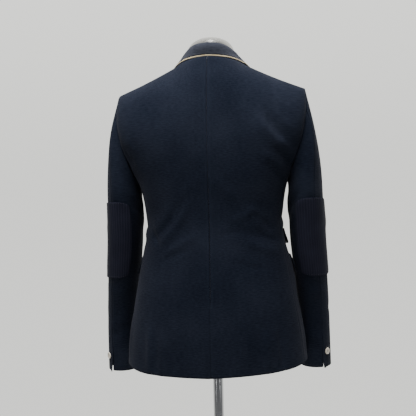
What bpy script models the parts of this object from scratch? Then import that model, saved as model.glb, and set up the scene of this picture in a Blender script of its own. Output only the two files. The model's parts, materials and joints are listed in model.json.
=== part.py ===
"""Sport coat worn by a limbless dress form on a stand, in metres, +Z up.

The coat's front faces -Y and its left half, as worn, is on +X. The origin is the
centre of the base's underside. Every cloth piece is a wall of even thickness between
an outer surface, worked out from the sections below, and a copy of it moved inwards.
"""

import math
from typing import NamedTuple

import bmesh
import bpy
from mathutils import Matrix, Vector

# Cloth and gaps
CLOTH = 0.0018  # wall of a cloth piece
SEAM_GAP = 0.0003  # between two pieces that are sewn together
ARMHOLE_GAP = 0.0012  # the same round the armhole, which curves in both pieces
LAID_GAP = 0.0006  # between a piece and the panel that it lies on
STEP = 0.001  # reach of the differences that give a surface's normal
SIDE_OFF = 1e-9  # keeps a place on its own side of the armhole's column

# Landmarks of the coat
ARMPIT_Z = 1.165  # lowest point of the armhole
YOKE_RISE = 0.36  # value of the height coordinate h at the shoulder seam
SHOULDER_TIP = Vector((0.210, 0.000, 1.373))
NECK_POINT = Vector((0.070, 0.004, 1.434))
BACK_NECK = Vector((0.0, 0.061, 1.449))
FRONT_NECK = Vector((0.0, -0.066, 1.392))
NECK_SHARE = 0.28  # share of a quarter's columns that end at the neckline
SHOULDER_DIP = 0.003  # how hollow the shoulder seam is between neck and tip
ARCH = 2.4  # squareness of the arch over the shoulder
ARMHOLE_BACK = 0.060  # how far the armhole's back edge lies behind the shoulder tip
ARMHOLE_FRONT = 0.058

# Seams of the trunk, as the column c: 0 centre back, 1 side, 2 centre front
BACK_SEAM = 0.80
FRONT_SEAM = 1.28
SEAM_TOP = 0.052  # h where the side panel's seams reach the armhole

# Closure and lapels, on the front seen as x and z
OVERLAP = 0.018  # how far each front passes the centre front
LAYER = 0.0024  # how far a lapping layer lies outside the one below it
BREAK_Z = 1.100  # height where the lapel starts to turn
ROLL_TOP = (0.060, 1.414)  # x and z of the roll line at the collar
LAPEL_TIP = (0.1225, 1.356)
NOTCH = (0.0950, 1.3820)
NEAR_SHARE, FAR_SHARE = 0.34, 0.68  # places across the collar between fold and edge
GORGE_GAP = 0.0036  # between the lapel's top and the collar
LAPEL_DROP = 0.0034  # how far the lapel's top lies under the roll line's end
LAPEL_START = 0.06  # share of the roll line below which there is no lapel
CUTAWAY_Z = 0.930  # height where the front edge starts to round away
CUTAWAY_X = 0.080  # x of the rounded corner's end on the hem

# Pieces that lie on panels
HIP_FLAP_GAP = 0.0009  # the ticket flap lies over a curve with coarse rows, so it needs more
TICKET_FLAP_GAP = 0.0013
HIP_FLAP_C, HIP_FLAP_Z = (1.00, 1.60), (0.957, 1.004)  # columns and heights it covers
TICKET_FLAP_C, TICKET_FLAP_Z = (1.03, 1.45), (1.026, 1.062)
FLAP_STAND = 0.0035  # how far a flap's lower edge stands off the panel
BUTTON_RADIUS = 0.0100
CUFF_BUTTON_RADIUS = 0.0075
BUTTON_THICK = 0.0032
BUTTON_HEIGHTS = (1.085, 0.985)
CUFF_BUTTON_Z = {1: 0.7670, -1: 0.7780}
CUFF_BUTTON_ANGLE = math.radians(47)

# Sleeves: the angle is 0 outwards, 90 to the back, 180 at the body, 270 to the front
SLEEVE_TOP_Z = 1.140  # where the shoulder's sleeve head has become a tube
CUFF_Z = {1: 0.731, -1: 0.741}  # the right sleeve hangs a little higher
SLEEVE_SWAY = {1: 0.0120, -1: -0.0035}  # how far each cuff hangs further out
SWAY_RUN = 0.34
HIND_SEAM = math.radians(62)
FORE_SEAM = math.radians(-105)
VENT_TOP_Z = 0.800
VENT_LIFT = 0.0018  # how far the cuff vent's upper edge stands off
VENT_RUN = 0.03  # height over which it comes to stand off
VENT_SPREAD = math.radians(30)
PATCH_ANGLE = math.radians(58)
PATCH_HALF_ANGLE = math.radians(66)
PATCH_GAP = 0.0017
PATCH_LOW, PATCH_HIGH = 0.955, 1.129
PATCH_SQUARE = 9.0
PATCH_THICK = 0.0013

# Collar
COLLAR_THICK = 0.0020
EDGING_WIDE = 0.0034
EDGING_THICK = 0.0018

# Dress form and stand
FORM_BOTTOM = 0.822
FORM_EDGE = 0.012
FORM_HEIGHTS = (0.87, 0.93, 0.99, 1.05, 1.11, 1.15)  # of its rings up to the armpit
SHOULDER_CLEAR = 0.0006  # between the cloth's inside and the form's shoulders
NECK_EASE = 0.0060  # further clearance near the neck
NECK_RADIUS = 0.0500
NECK_TOP = 1.4580
CAP_RADIUS = 0.0530
CAP_RIM = 0.0040
CAP_TOP = 1.4970
POLE_RADIUS = 0.0120
BASE_RADIUS = 0.1650
BASE_THICK = 0.0080
BASE_EDGE = 0.0020

# Grid sizes: rows and columns of the walls
LOWER_ROWS = 20  # rows of every trunk panel up to the seams' top
BACK_GRID = (12, 14)  # rows above those, and columns
SIDE_COLUMNS = 6
FRONT_GRID = (9, 10)
TOP_SLEEVE_GRID = (20, 11)
UNDER_SLEEVE_GRID = (20, 8)
HEAD_SHARE = 0.40  # share of a sleeve's rows that are in its head
PATCH_MESH = (5, 24)  # rings and spokes
FLAP_GRID = (3, 9)
LAPEL_GRID = (15, 5)
COLLAR_ROWS = 17  # sections from the centre back to each notch
FORM_COLUMNS = (4, 7)  # of a quarter of the form: along the neckline, along the shoulder
FORM_YOKE_ROWS = 9
BUTTON_STEPS = 16
CAP_STEPS = 28
CAP_ROWS = 6
BASE_STEPS = 48
POLE_STEPS = 24


class Section(NamedTuple):
    """The trunk at one height."""

    at: float  # height above the floor
    half_width: float
    back: float
    front: float
    square: float  # of the back half: 2 is an ellipse, more is squarer
    front_square: float


TRUNK = (
    Section(0.740, 0.2050, 0.1215, 0.1300, 2.30, 1.95),
    Section(0.768, 0.2030, 0.1210, 0.1300, 2.30, 1.95),
    Section(0.820, 0.1985, 0.1195, 0.1280, 2.30, 1.95),
    Section(0.870, 0.1905, 0.1170, 0.1255, 2.30, 2.00),
    Section(0.945, 0.1775, 0.1120, 0.1210, 2.25, 2.10),
    Section(1.000, 0.1665, 0.1070, 0.1165, 2.25, 2.20),
    Section(1.075, 0.1532, 0.1030, 0.1130, 2.30, 2.30),
    Section(1.120, 0.1572, 0.1060, 0.1160, 2.40, 2.40),
    Section(ARMPIT_Z, 0.1650, 0.1110, 0.1190, 2.60, 2.60),
)


class Yoke(NamedTuple):
    """The trunk above the armpit, at a share of the height to the shoulder."""

    at: float
    half_width: float  # at the armhole's edge
    back: float
    front: float
    square: float


YOKE = (
    Yoke(0.00, 0.1650, 0.1110, 0.1190, 2.60),
    Yoke(0.17, 0.1800, 0.1145, 0.1195, 2.50),
    Yoke(0.36, 0.1935, 0.1175, 0.1180, 2.40),
    Yoke(0.56, 0.2040, 0.1185, 0.1150, 2.40),
    Yoke(0.75, 0.2115, 0.1185, 0.1100, 2.40),
    Yoke(1.00, 0.2150, 0.1185, 0.1060, 2.40),
)


class Hem(NamedTuple):
    """Height of the hem at a column: the left half hangs a little lower behind."""

    at: float
    left: float
    right: float


HEM = (
    Hem(0.0, 0.7515, 0.7520),
    Hem(0.5, 0.7560, 0.7620),
    Hem(1.0, 0.7690, 0.7720),
    Hem(1.5, 0.7700, 0.7700),
    Hem(2.0, 0.7660, 0.7660),
    Hem(2.3, 0.7660, 0.7660),
)


class Arm(NamedTuple):
    """The sleeve's tube at one height."""

    at: float
    x: float
    y: float
    half_width: float
    half_depth: float


SLEEVE = (
    Arm(0.725, 0.2260, -0.0850, 0.0360, 0.0465),
    Arm(0.860, 0.2225, -0.0730, 0.0372, 0.0485),
    Arm(0.950, 0.2170, -0.0500, 0.0385, 0.0510),
    Arm(1.050, 0.2080, -0.0200, 0.0400, 0.0550),
    Arm(SLEEVE_TOP_Z, 0.2055, 0.0020, 0.0392, 0.0590),
)


class Fold(NamedTuple):
    """A soft trough (depth below 0) or ridge across a half of the trunk."""

    side: int  # 1 left as worn, -1 right
    back: bool
    x0: float
    z0: float
    x1: float
    z1: float
    wide: float
    depth: float


FOLDS = (
    Fold(-1, True, 0.138, 1.304, 0.182, 1.228, 0.012, -0.0070),
    Fold(-1, True, 0.118, 1.290, 0.160, 1.215, 0.014, 0.0040),
    Fold(-1, True, 0.148, 1.224, 0.176, 1.203, 0.011, -0.0042),
    Fold(1, True, 0.158, 1.240, 0.186, 1.212, 0.012, -0.0030),
    Fold(1, True, 0.128, 1.063, 0.085, 1.105, 0.013, 0.0030),
    Fold(1, True, 0.140, 1.078, 0.100, 1.120, 0.011, -0.0030),
    Fold(-1, True, 0.128, 1.088, 0.090, 1.118, 0.012, -0.0035),
    Fold(-1, True, 0.140, 1.050, 0.085, 1.066, 0.012, -0.0035),
    Fold(-1, True, 0.125, 1.066, 0.075, 1.090, 0.013, 0.0030),
    Fold(1, False, 0.135, 1.060, 0.040, 1.086, 0.013, -0.0030),
    Fold(-1, False, 0.100, 1.084, 0.038, 1.098, 0.010, -0.0025),
    Fold(1, False, 0.150, 1.250, 0.110, 1.310, 0.013, -0.0035),
    Fold(-1, False, 0.150, 1.255, 0.112, 1.300, 0.012, -0.0030),
)


class CollarRow(NamedTuple):
    """The collar at a share of the way from the centre back to the notch."""

    at: float
    base_x: float
    base_y: float
    base_z: float
    roll_x: float
    roll_y: float
    roll_z: float
    edge_x: float
    edge_y: float
    edge_z: float


COLLAR = (
    CollarRow(0.00, 0.0000, 0.0615, 1.4500, 0.0000, 0.0635, 1.4735, 0.0000, 0.0735, 1.4455),
    CollarRow(0.18, 0.0270, 0.0565, 1.4490, 0.0245, 0.0580, 1.4720, 0.0310, 0.0675, 1.4438),
    CollarRow(0.36, 0.0520, 0.0360, 1.4435, 0.0460, 0.0370, 1.4660, 0.0595, 0.0495, 1.4404),
    CollarRow(0.54, 0.0690, 0.0060, 1.4375, 0.0600, 0.0060, 1.4570, 0.0800, 0.0120, 1.4348),
)


class FlatCollarRow(NamedTuple):
    """The collar where it lies on the front: x and z there, and its lift off it."""

    at: float
    base_x: float
    base_z: float
    base_lift: float
    roll_x: float
    roll_z: float
    roll_lift: float
    edge_x: float
    edge_z: float
    edge_lift: float


FLAT_COLLAR = (
    FlatCollarRow(0.72, 0.0690, 1.4250, 0.0036, 0.0640, 1.4260, 0.0140, 0.0960, 1.4150, 0.0056),
    FlatCollarRow(0.86, 0.0650, 1.4190, 0.0036, 0.0620, 1.4200, 0.0090, 0.1090, 1.4060, 0.0052),
    FlatCollarRow(1.00, 0.0575, 1.4130, 0.0036, 0.0595, 1.4165, 0.0062, 0.1200, 1.3965, 0.0046),
)


class Ease(NamedTuple):
    """How far the form's surface lies inside the cloth's outer surface."""

    at: float
    depth: float


EASE = (
    Ease(0.800, 0.034),
    Ease(0.860, 0.026),
    Ease(0.950, 0.016),
    Ease(1.070, 0.010),
    Ease(ARMPIT_Z, 0.010),
)


class Cloth(NamedTuple):
    """Colour, roughness and metallic value of a material."""

    name: str
    colour: tuple
    rough: float
    metal: float


NAVY = Cloth("navy_cloth", (0.012, 0.018, 0.030), 0.90, 0.0)
PATCH = Cloth("ribbed_patch", (0.020, 0.022, 0.032), 0.92, 0.0)
TAN = Cloth("tan_edging", (0.300, 0.230, 0.160), 0.80, 0.0)
SHELL = Cloth("pale_shell", (0.620, 0.560, 0.460), 0.35, 0.0)
JERSEY = Cloth("form_jersey", (0.560, 0.530, 0.480), 0.85, 0.0)
CHROME = Cloth("chrome", (0.700, 0.710, 0.720), 0.12, 1.0)


def table(rows, column, at):
    """Value of a table's column at a place between its rows, on a smooth curve."""
    xs = [row.at for row in rows]
    ys = [getattr(row, column) for row in rows]
    if at <= xs[0]:
        return ys[0]
    if at >= xs[-1]:
        return ys[-1]
    slopes = [(ys[i + 1] - ys[i]) / (xs[i + 1] - xs[i]) for i in range(len(xs) - 1)]
    leans = [slopes[0]]
    for low, high in zip(slopes, slopes[1:]):
        leans.append(0.0 if low * high <= 0 else 2 * low * high / (low + high))
    leans.append(slopes[-1])
    i = next(k for k in range(len(xs) - 1) if at <= xs[k + 1])
    wide = xs[i + 1] - xs[i]
    t = (at - xs[i]) / wide
    return (
        ys[i] * (1 + 2 * t) * (1 - t) ** 2
        + ys[i + 1] * t * t * (3 - 2 * t)
        + wide * leans[i] * t * (1 - t) ** 2
        - wide * leans[i + 1] * t * t * (1 - t)
    )


def mix(a, b, t):
    return a + (b - a) * t


def smooth(t):
    t = min(max(t, 0.0), 1.0)
    return t * t * (3 - 2 * t)


def quarter(t):
    """Height of a quarter circle at t."""
    return math.sqrt(1 - (1 - min(max(t, 0.0), 1.0)) ** 2)


def signed_power(value, power):
    return math.copysign(abs(value) ** power, value)


def arch(s):
    return (1 - min(s, 1.0) ** ARCH) ** (1 / ARCH)


def top_point(front, q):
    """Point of the neckline or shoulder seam at q: 0 centre, 1 shoulder tip."""
    share = abs(q)
    middle = FRONT_NECK if front else BACK_NECK
    if share < NECK_SHARE:
        angle = 0.5 * math.pi * share / NECK_SHARE
        x = NECK_POINT.x * math.sin(angle)
        y = mix(NECK_POINT.y, middle.y, math.cos(angle))
        z = mix(NECK_POINT.z, middle.z, math.cos(angle))
    else:
        t = math.sin(0.5 * math.pi * (share - NECK_SHARE) / (1 - NECK_SHARE))
        x, y, z = NECK_POINT.lerp(SHOULDER_TIP, t)
        z -= SHOULDER_DIP * math.sin(math.pi * t)
    return Vector((math.copysign(x, q), y, z))


def yoke_share(h):
    return math.sin(0.5 * math.pi * min(max(h / YOKE_RISE, 0.0), 1.0))


def yoke_point(front, q, h):
    """Point above the armpit, on the back or front half, at q: 0 centre, 1 armhole."""
    s = yoke_share(h)
    power = 2 / table(YOKE, "square", s)
    angle = 0.5 * math.pi * q
    wide = table(YOKE, "half_width", s) * signed_power(math.sin(angle), power)
    side_depth = ARMHOLE_FRONT if front else ARMHOLE_BACK
    side_depth *= mix(smooth(s / 0.5), quarter(s / 0.4), min(abs(q), 1.0) ** 8)
    depth = table(YOKE, "front" if front else "back", s)
    depth = side_depth + (depth - side_depth) * abs(math.cos(angle)) ** power
    top = top_point(front, q)
    hold = mix(0.93, 1.0, smooth(abs(q) / NECK_SHARE))
    left_over = (arch(hold * s) - arch(hold)) / (1 - arch(hold))
    return Vector((
        mix(wide, top.x, s**3),
        mix(top.y, -depth if front else depth, left_over),
        mix(ARMPIT_Z, top.z, s),
    ))


def trunk_point(c, h):
    """Point of the plain trunk at column c and height h, which is z - ARMPIT_Z up to 0."""
    if h > 0:
        front = c > 1
        return yoke_point(front, 2 - c if front else c, h)
    z = ARMPIT_Z + h
    angle = 0.5 * math.pi * c
    behind = math.cos(angle) >= 0
    power = 2 / table(TRUNK, "square" if behind else "front_square", z)
    depth = table(TRUNK, "back" if behind else "front", z)
    x = table(TRUNK, "half_width", z) * signed_power(math.sin(angle), power)
    return Vector((x, depth * signed_power(math.cos(angle), power), z))


def fold_height(side, point):
    """How far the folds move a point of one half outwards."""
    total = 0.0
    for fold in FOLDS:
        if fold.side != side or fold.back != (point.y > 0):
            continue
        start = Vector((fold.x0, fold.z0))
        along = Vector((fold.x1, fold.z1)) - start
        offset = Vector((point.x, point.z)) - start
        t = offset.dot(along) / along.length_squared
        across = (offset - along * t).length / fold.wide
        if -0.3 < t < 1.3 and across < 3:
            ends = smooth((t + 0.3) / 0.5) * smooth((1.3 - t) / 0.5)
            total += fold.depth * ends * math.exp(-across * across)
    return total


def coat_point(side, c, h):
    """Point of the coat's outer surface, folds included, for the half x > 0."""
    point = trunk_point(c, h)
    fold = fold_height(side, point)
    if fold:
        point += Vector((0.5 * point.x, point.y, 0.0)).normalized() * fold
    return point


def plain_normal(side, c, h):
    """Outward normal of the coat's surface, from one side at the armhole's edge."""
    c_low, c_high = c - STEP, c + STEP
    h_low, h_high = h - STEP, min(h + STEP, YOKE_RISE - 1e-6)
    if h > 0 and c <= 1 < c_high:
        c_high = c
    if h > 0 and c_low < 1 < c:
        c_low = c
    across = coat_point(side, c_high, h) - coat_point(side, c_low, h)
    up = coat_point(side, c, h_high) - coat_point(side, c, h_low)
    return up.cross(across).normalized()


def coat_normal(side, c, h):
    """Outward normal, shared with the other half's panel along the shoulder seam."""
    normal = plain_normal(side, c, h)
    q = 2 - c if c > 1 else c
    if h > YOKE_RISE - 1e-6 and abs(q) >= NECK_SHARE:
        other = plain_normal(side, 2 - c, h)
        normal = (normal + other).normalized()
    return normal


def sleeve_ring(side, angle, z):
    """Point of the sleeve's tube at a height. The left sleeve hangs further out."""
    sway = SLEEVE_SWAY[side] * smooth((SLEEVE_TOP_Z - z) / SWAY_RUN)
    middle = table(SLEEVE, "x", z) + sway
    return Vector((
        middle + table(SLEEVE, "half_width", z) * math.cos(angle),
        table(SLEEVE, "y", z) + table(SLEEVE, "half_depth", z) * math.sin(angle),
        z,
    ))


def armhole_place(angle):
    """Column and height of the armhole's edge at a sleeve angle."""
    share = 0.5 * (1 + math.cos(angle))
    h = YOKE_RISE * math.asin(min(share, 1.0)) / (0.5 * math.pi)
    return (1 - SIDE_OFF if math.sin(angle) >= 0 else 1 + SIDE_OFF), h


def sleeve_point(side, angle, g):
    """Point of the sleeve: g runs 0 to 1 over the sleeve head and 1 to 2 down the tube."""
    if g >= 1:
        return sleeve_ring(side, angle, mix(SLEEVE_TOP_Z, CUFF_Z[side], g - 1))
    c, h = armhole_place(angle)
    start = coat_point(side, c, h)
    end = sleeve_ring(side, angle, SLEEVE_TOP_Z)
    reach = (end - start).length
    outward = mix(0.20, 0.50, math.sin(angle) ** 2)
    lean = Vector((outward, 0.10 * math.sin(angle), -math.sqrt(1 - outward**2)))
    first = start + lean * (0.35 * reach)
    second = end + Vector((0, 0, 0.40 * reach))
    rest = 1 - g
    return (
        start * rest**3
        + first * (3 * rest * rest * g)
        + second * (3 * rest * g * g)
        + end * g**3
    )


def sleeve_normal(side, angle, g):
    turn = 0.01
    low, high = max(g - 0.01, 0.0), min(g + 0.01, 2.0)
    across = sleeve_point(side, angle + turn, g) - sleeve_point(side, angle - turn, g)
    down = sleeve_point(side, angle, high) - sleeve_point(side, angle, low)
    return across.cross(down).normalized() * -1


def mitred(own, other):
    """Direction and stretch of a wall's end where two pieces meet at an angle."""
    weight = smooth((own.dot(other) + 0.1) / 0.5)
    middle = own.lerp((own + other) * 0.5, weight)
    if middle.length < 0.3:
        return own
    middle.normalize()
    return middle / max(middle.dot(own), 0.6)


def armhole_normal(side, angle, of_sleeve):
    c, h = armhole_place(angle)
    body = coat_normal(side, c, h)
    sleeve = sleeve_normal(side, angle, 0.0)
    return mitred(sleeve, body) if of_sleeve else mitred(body, sleeve)


def trunk_wall_normal(side, c, h):
    """Coat normal, mitred with the sleeve's along the armhole."""
    if h > 0 and abs(c - 1) < 1e-6:
        share = yoke_share(h)
        angle = math.acos(2 * share - 1)
        return armhole_normal(side, angle if c <= 1 else -angle, False)
    return coat_normal(side, c, h)


def hem_h(side, c):
    return table(HEM, word(side), abs(c)) - ARMPIT_Z


def column_at(h, x_of_z):
    """Front column whose point at height h lies on the line x = x_of_z(z)."""
    low, high = 1.0, 2.3
    for _ in range(26):
        middle = 0.5 * (low + high)
        point = trunk_point(middle, h)
        if point.x > x_of_z(point.z):
            low = middle
        else:
            high = middle
    return 0.5 * (low + high)


def roll_x(z):
    return mix(-OVERLAP, ROLL_TOP[0], (z - BREAK_Z) / (ROLL_TOP[1] - BREAK_Z))


def front_edge_x(z):
    """x of the front's inner edge: cutaway, straight edge, then roll line."""
    if z < CUTAWAY_Z:
        t = (CUTAWAY_Z - z) / (CUTAWAY_Z - table(HEM, "left", 1.7))
        round_away = 1 - math.sqrt(max(1 - min(t, 1.0) ** 2, 0.0))
        return mix(-OVERLAP, CUTAWAY_X, round_away)
    return max(-OVERLAP, roll_x(z))


def lap_lift(side, point):
    """How far the lapping left front lies outside the right one."""
    if side < 0 or point.y > 0:
        return 0.0
    near = smooth((0.060 - point.x) / 0.035)
    over_lapel = smooth((point.z - BREAK_Z + 0.035) / 0.03)
    return LAYER * near * (1 + 1.9 * over_lapel)


def seam_column(side_column, h):
    """Column of a side panel's seam, which curves into the armhole."""
    t = min(max(h / SEAM_TOP, 0.0), 1.0)
    return mix(side_column, 1.0, t**1.6)


def front_at(x, z):
    """Column and height of the front's point at x and z."""
    low, high = 1.0, 2.2
    h = 0.0
    for _ in range(24):
        c = 0.5 * (low + high)
        if z <= ARMPIT_Z:
            h = z - ARMPIT_Z
        else:
            top = trunk_point(c, YOKE_RISE).z
            share = min((z - ARMPIT_Z) / (top - ARMPIT_Z), 1.0)
            h = YOKE_RISE * math.asin(share) / (0.5 * math.pi)
        if trunk_point(c, h).x > x:
            low = c
        else:
            high = c
    return c, h


def on_front(side, x, z, lift):
    """Point over the front at x and z, and the front's normal there."""
    c, h = front_at(x, z)
    point = coat_point(side, c, h)
    normal = coat_normal(side, c, h)
    return point + normal * (lift + lap_lift(side, point)), normal


def finish(name, mesh, cloth, collection):
    """Makes an object of a mesh, with its material, in the coat's collection."""
    mesh.materials.append(material(cloth))
    mesh.shade_smooth()
    mesh.set_sharp_from_angle(angle=math.radians(40))
    made = bpy.data.objects.new(name, mesh)
    collection.objects.link(made)
    return made


def material(cloth):
    made = bpy.data.materials.get(cloth.name)
    if made:
        return made
    made = bpy.data.materials.new(cloth.name)
    made.use_nodes = True
    shader = made.node_tree.nodes["Principled BSDF"]
    shader.inputs["Base Color"].default_value = (*cloth.colour, 1.0)
    shader.inputs["Roughness"].default_value = cloth.rough
    shader.inputs["Metallic"].default_value = cloth.metal
    made.diffuse_color = (*cloth.colour, 1.0)
    return made


def closed_mesh(name, build):
    """Mesh of a closed bmesh, with its faces turned outwards."""
    bmesh.ops.recalc_face_normals(build, faces=build.faces)
    if build.calc_volume(signed=True) < 0:
        bmesh.ops.reverse_faces(build, faces=build.faces)
    mesh = bpy.data.meshes.new(name)
    build.to_mesh(mesh)
    build.free()
    return mesh


def trimmed(grid, sides):
    """The grid with its named edges drawn in by half a seam's gap."""
    rows, columns = len(grid), len(grid[0])
    drawn = [[point.copy() for point in row] for row in grid]

    def draw(i, j, k, m, gap=SEAM_GAP):
        step = grid[k][m] - grid[i][j]
        drawn[i][j] += step.normalized() * (0.5 * gap)

    for i in range(rows):
        if "left" in sides:
            draw(i, 0, i, 1)
        if "right" in sides:
            draw(i, columns - 1, i, columns - 2)
    for j in range(columns):
        if "armhole" in sides:
            draw(0, j, 1, j, 2 * ARMHOLE_GAP)
        if "high" in sides:
            draw(rows - 1, j, rows - 2, j)
        if "underarm" in sides:
            draw(rows - 1, j, rows - 2, j, 3 * ARMHOLE_GAP)
    return drawn


def wall(name, outer, normals, thick, cloth, collection, side=1, sides=()):
    """Closed wall between a grid of outer points and the same grid moved inwards."""
    outer = trimmed(outer, sides)
    rows, columns = len(outer), len(outer[0])
    flip = Matrix.Diagonal((side, 1, 1))
    build = bmesh.new()
    layers = []
    for depth in (0.0, thick):
        layers.append([
            [
                build.verts.new(flip @ (outer[i][j] - normals[i][j] * depth))
                for j in range(columns)
            ]
            for i in range(rows)
        ])
    top, under = layers
    for i in range(rows - 1):
        for j in range(columns - 1):
            k = j + 1
            build.faces.new((top[i][j], top[i][k], top[i + 1][k], top[i + 1][j]))
            build.faces.new((under[i][j], under[i + 1][j], under[i + 1][k], under[i][k]))
    for i in (0, rows - 1):
        for j in range(columns - 1):
            k = j + 1
            build.faces.new((top[i][j], top[i][k], under[i][k], under[i][j]))
    for j in (0, columns - 1):
        for i in range(rows - 1):
            build.faces.new((top[i][j], top[i + 1][j], under[i + 1][j], under[i][j]))
    return finish(name, closed_mesh(name, build), cloth, collection)


def panel_places(side, low, high, upper_rows, columns):
    """Grid of places (column, height) between two seams that lean."""
    places = []
    for i in range(LOWER_ROWS + upper_rows + 1):
        row = []
        for j in range(columns + 1):
            h = SEAM_TOP
            for _ in range(4):
                c = mix(low(h), high(h), j / columns)
                if i <= LOWER_ROWS:
                    h = mix(hem_h(side, c), SEAM_TOP, i / LOWER_ROWS)
                else:
                    h = mix(SEAM_TOP, YOKE_RISE, (i - LOWER_ROWS) / upper_rows)
            row.append((c, h))
        places.append(row)
    return places


def panel(name, side, places, sides, collection):
    """Wall of the trunk over a grid of places (column, height)."""
    outer, normals = [], []
    for row in places:
        points = [coat_point(side, c, h) for c, h in row]
        facing = [trunk_wall_normal(side, c, h) for c, h in row]
        outer.append([
            point + normal * lap_lift(side, point)
            for point, normal in zip(points, facing)
        ])
        normals.append(facing)
    return wall(name, outer, normals, CLOTH, NAVY, collection, side, sides)


def back(side, collection):

    def centre(h):
        return 0.0

    def seam(h):
        return min(seam_column(BACK_SEAM, h), 1 - SIDE_OFF)

    places = panel_places(side, centre, seam, *BACK_GRID)
    return panel(f"back_{word(side)}", side, places, ("left", "right", "high"), collection)


def front(side, collection):

    def seam(h):
        return max(seam_column(FRONT_SEAM, h), 1 + SIDE_OFF)

    def edge(h):
        return column_at(h, front_edge_x)

    places = panel_places(side, seam, edge, *FRONT_GRID)
    return panel(f"front_{word(side)}", side, places, ("left", "high"), collection)


def side_panel(side, collection):
    """Underarm panel, whose upper edge is the lowest part of the armhole."""
    places = []
    for i in range(LOWER_ROWS + 1):
        row = []
        for j in range(SIDE_COLUMNS + 1):
            k = 2 * j / SIDE_COLUMNS - 1
            seam = BACK_SEAM if k < 0 else FRONT_SEAM
            top = SEAM_TOP * abs(k) ** 2
            start = mix(1.0, seam, abs(k))
            h = mix(hem_h(side, start), top, i / LOWER_ROWS)
            t = min(max(h / top, 0.0), 1.0) if top else 0.0
            c = mix(start, 1.0, t**1.6)
            if h > 0:
                c = min(c, 1 - SIDE_OFF) if k < 0 else max(c, 1 + SIDE_OFF)
            row.append((c, h))
        places.append(row)
    return panel(
        f"side_{word(side)}", side, places, ("left", "right", "underarm"), collection
    )


def word(side):
    return "left" if side > 0 else "right"


def vent_lift(angle, z):
    """How far the upper edge of the cuff's vent stands off the sleeve's tube."""
    near = smooth(1 - (HIND_SEAM - angle) / VENT_SPREAD)
    return VENT_LIFT * smooth((VENT_TOP_Z - z) / VENT_RUN) * near


def sleeve_part(name, side, start, end, grid, vent_edge, collection):
    """One piece of a two-piece sleeve between two angles."""
    rows, columns = grid
    head_rows = round(rows * HEAD_SHARE)
    outer, normals = [], []
    for i in range(rows + 1):
        g = i / head_rows if i <= head_rows else 1 + (i - head_rows) / (rows - head_rows)
        row, facing = [], []
        for j in range(columns + 1):
            angle = mix(start, end, j / columns)
            normal = sleeve_normal(side, angle, g)
            point = sleeve_point(side, angle, g)
            if i == 0:
                normal = armhole_normal(side, angle, True)
            elif vent_edge:
                point += normal * vent_lift(angle, point.z)
            row.append(point)
            facing.append(normal)
        outer.append(row)
        normals.append(facing)
    sides = ("left", "right", "armhole")
    return wall(name, outer, normals, CLOTH, NAVY, collection, side, sides)


def sleeve(side, collection):
    sleeve_part(
        f"sleeve_top_{word(side)}", side, FORE_SEAM, HIND_SEAM, TOP_SLEEVE_GRID,
        True, collection,
    )
    sleeve_part(
        f"sleeve_under_{word(side)}", side, HIND_SEAM, FORE_SEAM + 2 * math.pi,
        UNDER_SLEEVE_GRID, False, collection,
    )


def elbow_patch(side, collection):
    """Elbow patch: rings of a rounded rectangle laid over the sleeve."""
    rings, spokes = PATCH_MESH
    middle, half = 0.5 * (PATCH_LOW + PATCH_HIGH), 0.5 * (PATCH_HIGH - PATCH_LOW)
    lift = PATCH_GAP + PATCH_THICK
    build = bmesh.new()
    flip = Matrix.Diagonal((side, 1, 1))

    def place(u, v, depth):
        z = middle + half * v
        angle = PATCH_ANGLE + PATCH_HALF_ANGLE * u
        g = 1 + (SLEEVE_TOP_Z - z) / (SLEEVE_TOP_Z - CUFF_Z[side])
        point = sleeve_point(side, angle, g)
        return build.verts.new(flip @ (point + sleeve_normal(side, angle, g) * depth))

    layers = []
    for depth in (lift, PATCH_GAP):
        loops = [[place(0.0, 0.0, depth)]]
        for i in range(1, rings + 1):
            loop = []
            for j in range(spokes):
                turn = 2 * math.pi * j / spokes
                u, v = math.cos(turn), math.sin(turn)
                total = abs(u) ** PATCH_SQUARE + abs(v) ** PATCH_SQUARE
                reach = total ** (-1 / PATCH_SQUARE) * i / rings
                loop.append(place(u * reach, v * reach, depth))
            loops.append(loop)
        layers.append(loops)
    for loops in layers:
        for j in range(spokes):
            k = (j + 1) % spokes
            build.faces.new((loops[0][0], loops[1][j], loops[1][k]))
            for low, high in zip(loops[1:], loops[2:]):
                build.faces.new((low[j], high[j], high[k], low[k]))
    for j in range(spokes):
        k = (j + 1) % spokes
        top, under = layers[0][-1], layers[1][-1]
        build.faces.new((top[j], top[k], under[k], under[j]))
    name = f"elbow_patch_{word(side)}"
    return finish(name, closed_mesh(name, build), PATCH, collection)


def flap(name, side, c_range, z_range, gap, collection):
    """Pocket flap: it lies on the panel at its top and stands off at its lower edge."""
    rows, columns = FLAP_GRID
    outer, normals = [], []
    for i in range(rows + 1):
        row, facing = [], []
        for j in range(columns + 1):
            z = mix(z_range[1], z_range[0], i / rows)
            corner = abs(2 * j / columns - 1) ** 8
            z += 0.006 * corner * (i / rows) ** 2
            c = mix(*c_range, j / columns)
            h = z - ARMPIT_Z
            point = coat_point(side, c, h)
            normal = coat_normal(side, c, h)
            stand = gap + CLOTH + FLAP_STAND * smooth(i / rows)
            row.append(point + normal * (stand + lap_lift(side, point)))
            facing.append(normal)
        outer.append(row)
        normals.append(facing)
    return wall(name, outer, normals, CLOTH, NAVY, collection, side)


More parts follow.
